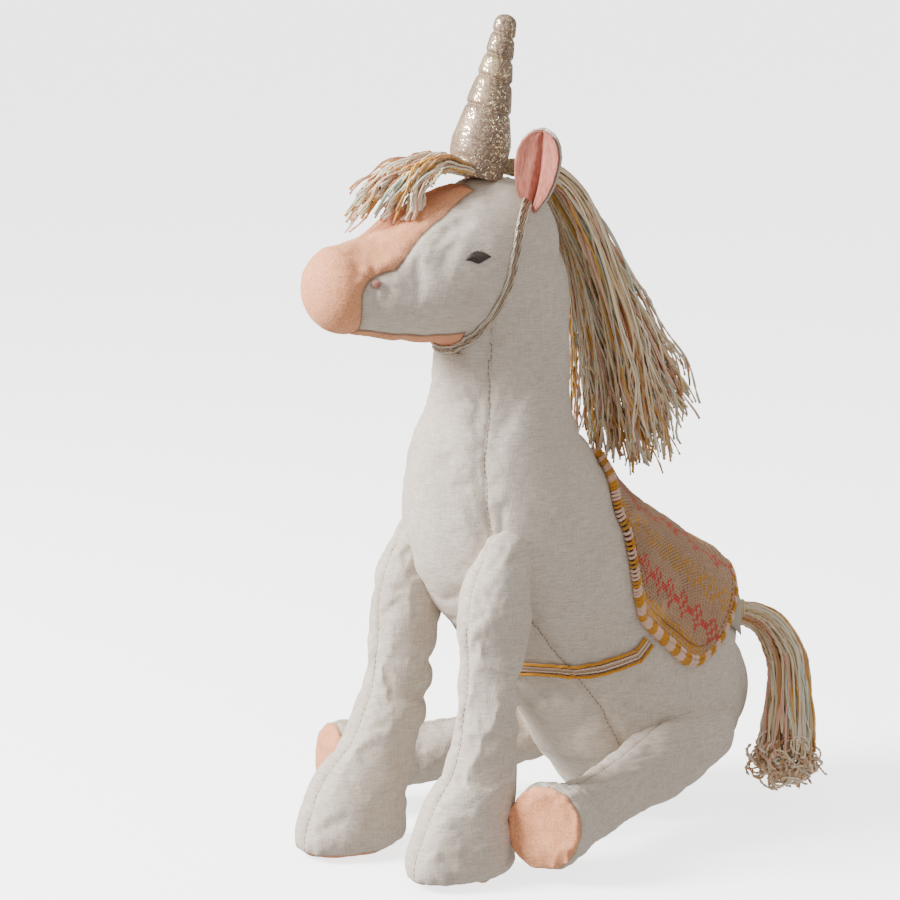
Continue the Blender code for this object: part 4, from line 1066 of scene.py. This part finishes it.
# ------------------------------------------------------------ ears
EAR_HIGH = [0.0, 0.04, 0.12, 0.25, 0.42, 0.58, 0.72, 0.84, 0.92, 0.97, 1.0]
EAR_WIDE = [0.0010, 0.0026, 0.0048, 0.0078, 0.0100, 0.0109, 0.0108, 0.0093, 0.0070, 0.0046, 0.0]
EAR_LENGTH = 0.0410
LINING = lining_look()
OUTER = skin_look("Ear_Linen")
for side, title in ((1.0, "Left"), (-1.0, "Right")):
    foot = np.array(joint[f"ear_{title.lower()}_fold"]["pos_m"]) - np.array((0.0, 0.0, 0.0062))
    up = unit(np.array((side * 0.13, 0.10, 0.98)))
    facing = np.array((side * 0.62, -0.78, 0.0))
    across = unit(np.cross(up, facing))
    up, across = (about_neck(a + NECK) - NECK for a in (up, across))
    ahead = np.cross(across, up)
    h = np.linspace(0.0, 1.0, 60)
    b = np.linspace(-1, 1, 41)
    hh, bb = np.meshgrid(h, b, indexing="ij")
    w = np.interp(hh, EAR_HIGH, EAR_WIDE)
    w = np.maximum(w, 0.0002)
    cup = 0.0030 * (w / 0.0109) * (bb**2 - 0.3)
    fold_line = 0.10 * np.sin(3.0 * hh) * side
    fold = 0.0034 * np.exp(-(((bb - fold_line) / 0.16) ** 2))
    fold = fold * np.clip(1.15 - hh, 0, 1) ** 0.6 * np.clip(hh / 0.1, 0.2, 1)
    plump = 0.0011 * np.clip(1 - bb**2, 0, 1) ** 0.5 * (w / 0.0109)

    def ear_point(push, shrink):
        return (
            foot
            + up * (EAR_LENGTH * (hh * shrink + (1 - shrink) * 0.45))[..., None]
            + across * (bb * w * shrink)[..., None]
            + ahead * (cup + push)[..., None]
        )

    uneven = hash_noise(np.stack([bb, hh, bb * 0], -1), 5, 8) * 0.0003
    front = ear_point(0.0006 + plump - fold + uneven, 0.955)
    back = ear_point(-0.0012 - plump * 0.6 - fold * 0.55, 1.0)
    rows, cols = hh.shape
    sheet_faces = grid_faces(rows, cols, False)
    lining_faces = sheet_faces if side > 0 else sheet_faces[:, ::-1]
    lining = new_mesh(f"Ear_{title}_Satin", front.reshape(-1, 3), lining_faces)
    thicken(lining, 0.0007, 0)
    keep_rest(lining)
    dress(lining, LINING)
    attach(lining, f"ear_{title.lower()}")
    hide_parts(f"Ear_{title}_Lining")
    outer = new_mesh(f"Ear_{title}_Linen_Back", back.reshape(-1, 3), sheet_faces)
    thicken(outer, 0.0012, 0)
    edge = hash_noise(coords(outer), 300, 9) * 0.0001
    set_coords(outer, coords(outer) + normals(outer) * edge[:, None])
    keep_rest(outer)
    put(outer, "zone", np.ones(len(outer.data.vertices)))
    put(outer, "seam", np.ones(len(outer.data.vertices)))
    dress(outer, OUTER)
    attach(outer, f"ear_{title.lower()}")
    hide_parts(f"Ear_{title}_Outer_Linen")


# ------------------------------------------------------------ yarn hair
PALETTE = [
    (lin(232, 218, 194), 0.36), (lin(218, 194, 158), 0.24), (lin(208, 158, 76), 0.12),
    (lin(196, 142, 84), 0.07), (lin(222, 172, 150), 0.10), (lin(200, 212, 196), 0.07),
    (lin(190, 122, 82), 0.04),
]
SHARES = np.array([s for _, s in PALETTE])


def pick_tints(count):
    chosen = rng.choice(len(PALETTE), count, p=SHARES / SHARES.sum())
    tint = np.array([PALETTE[i][0][:3] for i in chosen])
    return np.clip(tint * rng.uniform(0.86, 1.08, (count, 1)), 0, 1)


def guide(rows, steps):
    rows = np.asarray(rows, float)
    return spline(rows, np.linspace(0, len(rows) - 1, steps))


def wander(paths, size, waves=(1.0, 4.0), start=0.15):
    """Loose waves along each yarn, growing from its root."""
    count, steps = paths.shape[:2]
    t = np.linspace(0, 1, steps)[None, :, None]
    grow = np.clip((t - start) / (1 - start), 0, 1) ** 0.8
    for _ in range(3):
        f = rng.uniform(*waves, (count, 1, 3))
        p = rng.uniform(0, 2 * PI, (count, 1, 3))
        paths = paths + np.sin(2 * PI * f * t + p) * grow * size * rng.uniform(0.3, 1.0, (count, 1, 3))
    return paths


MANE = [
    (-0.016, -0.004, -0.036, 0.186, 0.0060),
    (-0.010, 0.002, -0.024, 0.176, 0.0070),
    (-0.004, 0.006, -0.010, 0.170, 0.0080),
    (0.003, 0.006, 0.001, 0.186, 0.0085),
    (0.009, 0.007, 0.009, 0.205, 0.0080),
    (0.014, 0.004, -0.010, 0.178, 0.0070),
    (0.018, -0.002, -0.030, 0.181, 0.0060),
]
MANE_STEPS = 30
mane_guides = []
for x, lean_back, tip_y, tip_z, thick in MANE:
    rows = [
        (x * 0.30, -0.0900, 0.3260, 0.0050, 0.0035),
        (x * 0.55, -0.0700, 0.3210, 0.0070, 0.0050),
        (x * 0.75, -0.0530 + lean_back * 0.3, 0.2960, 0.0085, thick),
        (x * 0.90, -0.0440 + (tip_y + 0.044) * 0.40, 0.2930 + (tip_z - 0.293) * 0.42, 0.0095, thick),
        (x, -0.0400 + (tip_y + 0.040) * 0.75, 0.2930 + (tip_z - 0.293) * 0.75, 0.0105, thick * 1.1),
        (x, tip_y, tip_z, 0.0110, 0.0080),
    ]
    mane_guides.append(guide(rows, MANE_STEPS))
mane_guides = np.array(mane_guides)


def trimmed(paths, reach):
    """Yarns cut off at their own shares of the length."""
    t = np.linspace(0, 1, paths.shape[1])
    out = np.empty_like(paths)
    for n in range(len(paths)):
        for k in range(3):
            out[n, :, k] = np.interp(t * reach[n], t, paths[n, :, k])
    return out


def hair(guides, count, loose, size):
    """Yarns spread between neighbouring guide locks."""
    at = rng.uniform(0, len(guides) - 1, count)
    i = np.minimum(at.astype(int), len(guides) - 2)
    f = (at - i)[:, None, None]
    f = f * f * (3 - 2 * f)
    g = guides[i] * (1 - f) + guides[i + 1] * f
    a = rng.uniform(0, 2 * PI, count)[:, None]
    r = np.sqrt(rng.uniform(0, 1, count))[:, None]
    spread = g[..., 3:5] * np.stack([np.cos(a) * r, np.sin(a) * r], -1)
    centre = g[..., :3].copy()
    along = unit(np.gradient(centre, axis=1))
    side = np.zeros_like(along) + np.array((1.0, 0, 0))
    side = unit(side - along * np.sum(side * along, -1, keepdims=True))
    other = np.cross(along, side)
    paths = centre + side * spread[..., :1] + other * spread[..., 1:]
    reach = rng.uniform(1 - loose, 1.0, count)
    return wander(trimmed(paths, reach), size)


def keep_off(paths, clear):
    """Yarn points pushed out of the skin."""
    flat = paths.reshape(-1, 3).copy()
    for n, p in enumerate(flat):
        hit, normal, _, d = body_tree.find_nearest(Vector(p))
        depth = (Vector(p) - hit).dot(normal)
        if depth < clear:
            flat[n] = np.array(hit) + np.array(normal) * clear
    return flat.reshape(paths.shape)


mane_paths = about_neck(hair(mane_guides, 480, 0.22, 0.0019) + SHIFT)
mane_paths = keep_off(mane_paths, 0.0014)
halves = np.array_split(np.arange(len(mane_paths)), 2)
tints = pick_tints(len(mane_paths))
for n, part in enumerate(halves):
    radii = rng.uniform(0.00050, 0.00068, len(part))
    mane = strands(f"Mane_Yarns_{n + 1}", mane_paths[part], radii, tints[part])
    dress(mane, YARN)
    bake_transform(mane)
    if n == 0:
        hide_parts("Mane_Yarn")

FORE = [
    (-0.010, -0.0200, -0.1735, 0.2965),
    (-0.008, -0.0160, -0.1700, 0.3110),
    (-0.006, -0.0060, -0.1820, 0.2990),
    (-0.003, -0.0040, -0.1735, 0.3140),
    (0.000, 0.0000, -0.1750, 0.3070),
    (0.003, 0.0030, -0.1670, 0.3040),
    (0.006, 0.0085, -0.1600, 0.3005),
    (0.009, 0.0130, -0.1545, 0.3030),
    (0.011, 0.0150, -0.1450, 0.3120),
]
fore_guides = []
for x, tip_x, tip_y, tip_z in FORE:
    rows = [
        (x * 0.7, -0.1130, 0.3250, 0.0050, 0.0020),
        (x * 0.9, -0.1240, 0.3285, 0.0055, 0.0032),
        (x * 1.05, -0.1350, 0.3300, 0.0055, 0.0042),
        (x * 0.5 + tip_x * 0.5, (-0.135 + tip_y) / 2 - 0.002, (0.330 + tip_z) / 2 + 0.0045, 0.0052, 0.0042),
        (tip_x, tip_y, tip_z, 0.0050, 0.0034),
    ]
    fore_guides.append(guide(rows, 22))
fore_paths = about_neck(hair(np.array(fore_guides), 170, 0.30, 0.0012) + SHIFT)
fore_paths = keep_off(fore_paths, 0.0010)
count = len(fore_paths)
radii = rng.uniform(0.00062, 0.00086, count)
forelock = strands("Forelock_Yarns", fore_paths, radii, pick_tints(count), 6)
dress(forelock, YARN)
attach(forelock, "head")
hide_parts("Forelock_Yarn")

# ------------------------------------------------------------ tail
tail_rows = np.asarray(TAIL_ROWS, float)
tail_rows[:, :3] += SHIFT
count = 210
TAIL_STEPS = 34
line = spline(tail_rows, np.linspace(0, len(tail_rows) - 1.0, TAIL_STEPS))
along = unit(np.gradient(line[:, :3], axis=0))
side = unit(np.array((0.45, -0.9, 0.0)))
across = unit(side - along * (along @ side)[:, None])
over = np.cross(along, across)
a = rng.uniform(0, 2 * PI, (count, 1))
r = np.sqrt(rng.uniform(0.12, 0.96, (count, 1)))
drift = np.linspace(0, 1, TAIL_STEPS)[None] * rng.normal(0, 0.35, (count, 1))
w = line[None, :, 3] * r * np.cos(a + drift)
h = line[None, :, 4] * r * np.sin(a + drift)
paths = line[None, :, :3] + across[None] * w[..., None] + over[None] * h[..., None]
reach = rng.uniform(0.86, 1.0, count)
cut = wander(trimmed(paths, reach), 0.0010, (0.8, 2.6))
cut[..., 2] = np.maximum(cut[..., 2], 0.0010)
tail = strands("Tail_Yarns", cut, rng.uniform(0.00066, 0.00088, count), pick_tints(count), 5)
dress(tail, YARN)
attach(tail, "tail")
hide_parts("Tail_Yarn")
# cut ends curl back on themselves into a soft mop
curls = 300
end = line[-1, :3] - along[-1] * 0.004
u = rng.normal(0, 1, (curls, 3))
u = unit(u - 0.6 * u * (u @ along[-1] < 0)[:, None])
centre = end + u * np.array((0.0170, 0.0170, 0.0125)) * rng.uniform(0.45, 1.0, (curls, 1))
centre[:, 2] = np.maximum(centre[:, 2], 0.0040)
axis1 = unit(rng.normal(0, 1, (curls, 3)))
axis2 = unit(np.cross(axis1, rng.normal(0, 1, (curls, 3))))
phi = np.linspace(0, 1, 16)[None, :, None] * rng.uniform(2.4, 5.2, (curls, 1, 1))
phi = phi + rng.uniform(0, 6, (curls, 1, 1))
size = rng.uniform(0.0022, 0.0052, (curls, 1, 1))
paths = centre[:, None] + size * (np.cos(phi) * axis1[:, None] + np.sin(phi) * axis2[:, None])
paths = paths + phi * 0.0005 * np.cross(axis1, axis2)[:, None]
paths[..., 2] = np.maximum(paths[..., 2], 0.0010)
radii = rng.uniform(0.00055, 0.0008, curls)
tints = pick_tints(curls) * 0.7 + np.array(lin(226, 196, 170)[:3]) * 0.3
mop = strands("Tail_Mop", paths, radii, tints, 5)
dress(mop, YARN)
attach(mop, "tail")
# winding round the root
wrap_line = spline(tail_rows, np.linspace(0.95, 1.25, 200))
d = unit(np.gradient(wrap_line[:, :3], axis=0))
wa = unit(side - d * (d @ side)[:, None])
wo = np.cross(d, wa)
phi = np.linspace(0, 2 * PI * 5, 200)[:, None]
wind = wrap_line[:, :3] + wa * (wrap_line[:, 3:4] + 0.0009) * np.cos(phi)
wind = wind + wo * (wrap_line[:, 4:5] + 0.0009) * np.sin(phi)
wrap = strands("Tail_Winding", wind[None], 0.0006, np.array([lin(216, 192, 160)[:3]]), 6, 2, 0.0024)
dress(wrap, YARN)
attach(wrap, "tail")
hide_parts("Tail_Wrap_Thread")


# ------------------------------------------------------------ knit blanket
HALF_T, POWER, OUTER = math.radians(97.0), 4.6, 1.06
BASE_TINT = np.array(lin(186, 148, 118)[:3])
CORAL, GOLD = (np.array(lin(*c)[:3]) for c in ((206, 84, 72), (206, 146, 54)))
FLOWER = ["..x..", ".x.x.", "x.x.x", ".x.x.", "..x.."]
CROSS = ["x...x", ".x.x.", "..x..", ".x.x.", "x...x"]
EDGE = ["x.x.x", ".xxx.", "x.x.x"]
BANDS = [
    (0.14, GOLD, EDGE), (0.39, CORAL, FLOWER), (0.62, GOLD, CROSS), (0.81, CORAL, FLOWER), (0.95, GOLD, EDGE),
]


def knit_tint(column, share, courses):
    """Colour of a stitch: bands of small motifs run along the body."""
    row = share * courses
    for at, tint, motif in BANDS:
        r = int(round((row - at * courses) / 1.6)) + len(motif) // 2
        if 0 <= r < len(motif):
            c = column % 6
            if c < 5 and motif[r][c] == "x":
                return tint
            if c == 5 and r == len(motif) // 2:
                return tint
    return BASE_TINT


def blanket_at(a, b):
    """Skin point of the blanket, a from rear to front and b over the back, -1 to 1 at the knit's edge."""
    down = np.clip(np.abs(b) / OUTER, 0, 1)
    half = (0.1225 - 0.062 * down**1.3) / OUTER
    return torso(0.4075 - 0.062 * down**1.4 + half * a, PI / 2 + HALF_T / OUTER * b, 0.0)


def inside_blanket(dv, dt):
    return np.abs(dv) ** POWER + np.abs(dt) ** POWER


def outline(reach, ring):
    """Points round the blanket at a share of its reach, with rounded corners."""
    c, s = np.cos(ring), np.sin(ring)
    grow = (np.abs(c) ** POWER + np.abs(s) ** POWER) ** (-1 / POWER)
    return blanket_at(reach * grow * c, reach * grow * s)


rings_n, around = 22, 150
ring = np.arange(around) * 2 * PI / around
verts = []
for i in range(rings_n + 1):
    verts.append(outline(i / rings_n * 0.985, ring))
verts = on_body(np.array(verts).reshape(-1, 3), 0.0020)
blanket = new_mesh("Blanket_Cloth", verts, grid_faces(rings_n + 1, around, True))
co = coords(blanket)
set_coords(blanket, co + body_normal(co) * (hash_noise(co, 60, 12) * 0.0006 + 0.0003)[:, None])
keep_rest(blanket)
# painted shade: the backing sheet is a darker copy of the base yarn, standing in for the shade in the gaps
# between stitches
put(blanket, "tint", np.tile(BASE_TINT * 0.8, (len(co), 1)), "FLOAT_COLOR")
dress(blanket, KNIT)
edge_b = np.full(60, 0.5)
width = float(np.linalg.norm(np.diff(blanket_at(np.linspace(-1, 1, 60), edge_b), axis=0), axis=1).sum())
length = float(
    np.linalg.norm(np.diff(blanket_at(np.zeros(90), np.linspace(-1, 1, 90)), axis=0), axis=1).sum()
)
columns, half_courses = ((44, 62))
lobes, tints = [], []
step_t = 1.0 / half_courses
for col in range(-columns // 2, columns // 2 + 1):
    dv = col * 2.0 / columns
    for course in range(-half_courses, half_courses + 1):
        dt = course / half_courses
        if inside_blanket(dv, dt) > 0.93:
            continue
        for lean in (-1, 1):
            h = np.array((-0.62, -0.2, 0.25, 0.68)) * step_t
            x = np.array((0.10, 0.30, 0.36, 0.24)) * lean * 2.0 / columns
            lobes.append((dv + x, dt + h))
            tints.append(knit_tint(col + 30, abs(dt), half_courses) * rng.uniform(0.9, 1.08))
lobes = np.array(lobes)
paths = blanket_at(lobes[:, 0], lobes[:, 1])
flat = on_body(paths.reshape(-1, 3), 0.0)
lift = np.tile(np.array((0.0021, 0.0032, 0.0033, 0.0022)), len(paths))
flat = flat + body_normal(flat) * (lift + hash_noise(flat, 60, 12) * 0.0006)[:, None]
shape = np.array((0.45, 1.0, 1.0, 0.5))
stitch_radius = 0.00086 * 44 / columns
flat = flat.reshape(paths.shape)
knit = strands("Blanket_Stitches", flat, stitch_radius, np.array(tints), 5, 1, taper=shape)
dress(knit, KNIT)
ring = np.linspace(0, 2 * PI, 421)[:-1]
BINDING_SECTION = (
    (0.984, 0.0030), (0.996, 0.0042), (1.012, 0.0044), (1.026, 0.0036), (1.032, 0.0018), (1.022, 0.0006),
)
paths = np.stack([on_body(outline(reach, ring), lift) for reach, lift in BINDING_SECTION], 1)
distance = np.concatenate([[0], np.cumsum(np.linalg.norm(np.diff(paths[:, 1], axis=0), axis=1))])
block = (distance / 0.0048).astype(int) % 2
binding_gold, binding_pale = (np.array(lin(*c)[:3]) for c in ((204, 140, 46), (228, 190, 168)))
binding_tint = np.where(block[:, None] == 0, binding_gold, binding_pale)
binding_tint = binding_tint * rng.uniform(0.88, 1.06, (len(paths), 1))
binding = strands("Blanket_Binding", paths, 0.00082, binding_tint, 5, 1)
dress(binding, KNIT)
p = on_body(outline(0.945, ring), 0.0039)
paths = np.stack([p[:-1:2], (p[:-1:2] + p[1::2]) / 2, p[1::2]], 1)
edge_tint = np.tile(lin(158, 104, 44)[:3], (len(paths), 1))
edge_line = strands("Blanket_Edge_Stitches", paths, 0.00042, edge_tint, 5, 1)
dress(edge_line, KNIT)
for piece, slot_name in ((blanket, "knit"), (knit, "knit"), (binding, "binding"), (edge_line, "binding")):
    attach(piece, "torso")
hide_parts("Saddle_Blanket_Knit")
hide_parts("Blanket_Edge_Binding")


# ------------------------------------------------------------ girth ribbon and label
def girth(along, offset, lift):
    turn = math.radians(-8.0) - (PI - math.radians(16.0)) * along
    mirrored = np.where(turn > DOWN, turn, -PI - turn)
    part = np.clip((-mirrored - math.radians(16.5)) / (PI / 2 - math.radians(16.5)), 0, 1)
    v = 0.359 + 0.059 * np.sin(part * PI / 2)
    centre = on_body(torso(v, turn, 0.0), 0.0)
    along_dir = unit(np.gradient(centre, axis=0))
    n = body_normal(centre)
    return on_body(centre + np.cross(n, along_dir) * offset, lift)


t = np.linspace(0, 1, 170)
bands = [
    (-0.0033, 0.00090, (204, 138, 34)), (0.0033, 0.00090, (204, 138, 34)),
    (-0.0020, 0.00045, (104, 66, 34)), (0.0020, 0.00045, (104, 66, 34)),
    (-0.0011, 0.00046, (226, 208, 188)), (0.0011, 0.00046, (226, 208, 188)),
    (-0.0003, 0.00044, (160, 124, 104)), (0.0004, 0.00044, (130, 98, 78)),
]
for n, (offset, r, colour) in enumerate(bands):
    path = girth(t, offset, 0.0006 + r)
    twist = 0.0026 if r > 0.0006 else 0.0015
    cord_piece = strands(f"Girth_Cord_{n + 1}", path[None], r, np.array([lin(*colour)[:3]]), 6, 2, twist)
    dress(cord_piece, KNIT)
    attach(cord_piece, "torso")
low_edge, high_edge = girth(t, -0.0037, 0.0007), girth(t, 0.0037, 0.0007)
middle = girth(t, 0.0, 0.0008)
verts = np.stack([low_edge, middle, high_edge], 1).reshape(-1, 3)
ribbon = new_mesh("Girth_Band", verts, grid_faces(len(t), 3, False))
thicken(ribbon, 0.0005)
keep_rest(ribbon)
put(ribbon, "tint", np.tile(lin(188, 156, 132)[:3], (len(ribbon.data.vertices), 1)), "FLOAT_COLOR")
dress(ribbon, KNIT)
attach(ribbon, "torso")
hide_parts("Girth_Ribbon")

label_turns = math.radians(37.0) + np.linspace(-0.20, 0.20, 24)
vv, tt = np.meshgrid(np.linspace(0.305, 0.256, 30), label_turns, indexing="ij")
grid = torso(vv, tt, 0.0)
rise = 0.0016 + 0.0006 * np.linspace(0, 1, 30)[:, None] + 0.0003 * np.sin(tt * 9)
flat = on_body(grid.reshape(-1, 3), 0.0)
flat = flat + body_normal(flat) * rise.reshape(-1, 1)
label = new_mesh("Label_Tab", flat, grid_faces(30, 24, False))
thicken(label, 0.0006)
keep_rest(label)
k = Look("Label_Twill", 0.85)
twill = k.wave(520, "DIAGONAL", 0.4)
c = k.mix(k.ramp(twill, 0.2, 0.8), lin(146, 134, 116), lin(172, 160, 142))
c = k.mix(k.ramp(k.noise(160, 3), 0.4, 0.8, 0.0, 0.3), c, lin(130, 116, 98))
k.bump(twill, 0.5, 0.0003)
dress(label, k.finish(c, 0.2, None, 0.5, 0.25))
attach(label, "torso")
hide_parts("Blank_Label_Tab")

# ------------------------------------------------------------ stage, light and camera
FLOOR_HALF, FLOOR_Z = 40, -0.0006
corners = [
    (x * FLOOR_HALF, y * FLOOR_HALF, FLOOR_Z) for x, y in ((-1, -1), (1, -1), (1, 1), (-1, 1))
]
floor = new_mesh("Floor", corners, [(0, 1, 2, 3)])
f = bpy.data.materials.new("Floor_Paper")
f.use_nodes = True
paper = f.node_tree.nodes["Principled BSDF"].inputs
paper["Base Color"].default_value = (0.93, 0.93, 0.93, 1)
paper["Roughness"].default_value = 0.9
paper["Emission Color"].default_value = (1.0, 1.0, 1.0, 1)
paper["Emission Strength"].default_value = 2.6
dress(floor, f)
floor.visible_diffuse = False
floor.visible_glossy = False

world = bpy.data.worlds.new("Studio")
bpy.context.scene.world = world
world.use_nodes = True
light = world.node_tree.nodes["Background"]
light.inputs["Color"].default_value = (1.0, 0.985, 0.965, 1)
light.inputs["Strength"].default_value = 0.82
backdrop = world.node_tree.nodes.new("ShaderNodeBackground")
backdrop.inputs["Color"].default_value = (1.0, 1.0, 1.0, 1)
backdrop.inputs["Strength"].default_value = 3.2
seen = world.node_tree.nodes.new("ShaderNodeLightPath")
choice = world.node_tree.nodes.new("ShaderNodeMixShader")
world.node_tree.links.new(seen.outputs["Is Camera Ray"], choice.inputs[0])
world.node_tree.links.new(light.outputs[0], choice.inputs[1])
world.node_tree.links.new(backdrop.outputs[0], choice.inputs[2])
world.node_tree.links.new(choice.outputs[0], world.node_tree.nodes["World Output"].inputs["Surface"])


def lamp(name, place, aim, size, power):
    data = bpy.data.lights.new(name, "AREA")
    data.size = size
    data.energy = power
    obj = bpy.data.objects.new(name, data)
    bpy.context.scene.collection.objects.link(obj)
    obj.location = place
    obj.rotation_euler = (Vector(aim) - Vector(place)).to_track_quat("-Z", "Y").to_euler()


AIM = (0.0, -0.08, 0.18)
lamp("Key", (-0.75, -1.55, 1.15), AIM, 0.8, 130)

camera_data = bpy.data.cameras.new("Camera")
camera = bpy.data.objects.new("Camera", camera_data)
bpy.context.scene.collection.objects.link(camera)
AZIMUTH, ELEVATION, DISTANCE, VIEW_WIDTH = math.radians(48.0), math.radians(10.0), 1.5, 0.428
TARGET = Vector((-0.014, -0.115, 0.192)) + Vector(SHIFT)
camera_data.sensor_width = 36.0
camera_data.lens = 36.0 * DISTANCE / VIEW_WIDTH
camera.location = TARGET + DISTANCE * Vector(
    (math.sin(AZIMUTH) * math.cos(ELEVATION), -math.cos(AZIMUTH) * math.cos(ELEVATION), math.sin(ELEVATION))
)
camera.rotation_euler = (PI / 2 - ELEVATION, 0.0, AZIMUTH)
camera_data.clip_start = 0.05
bpy.context.scene.camera = camera
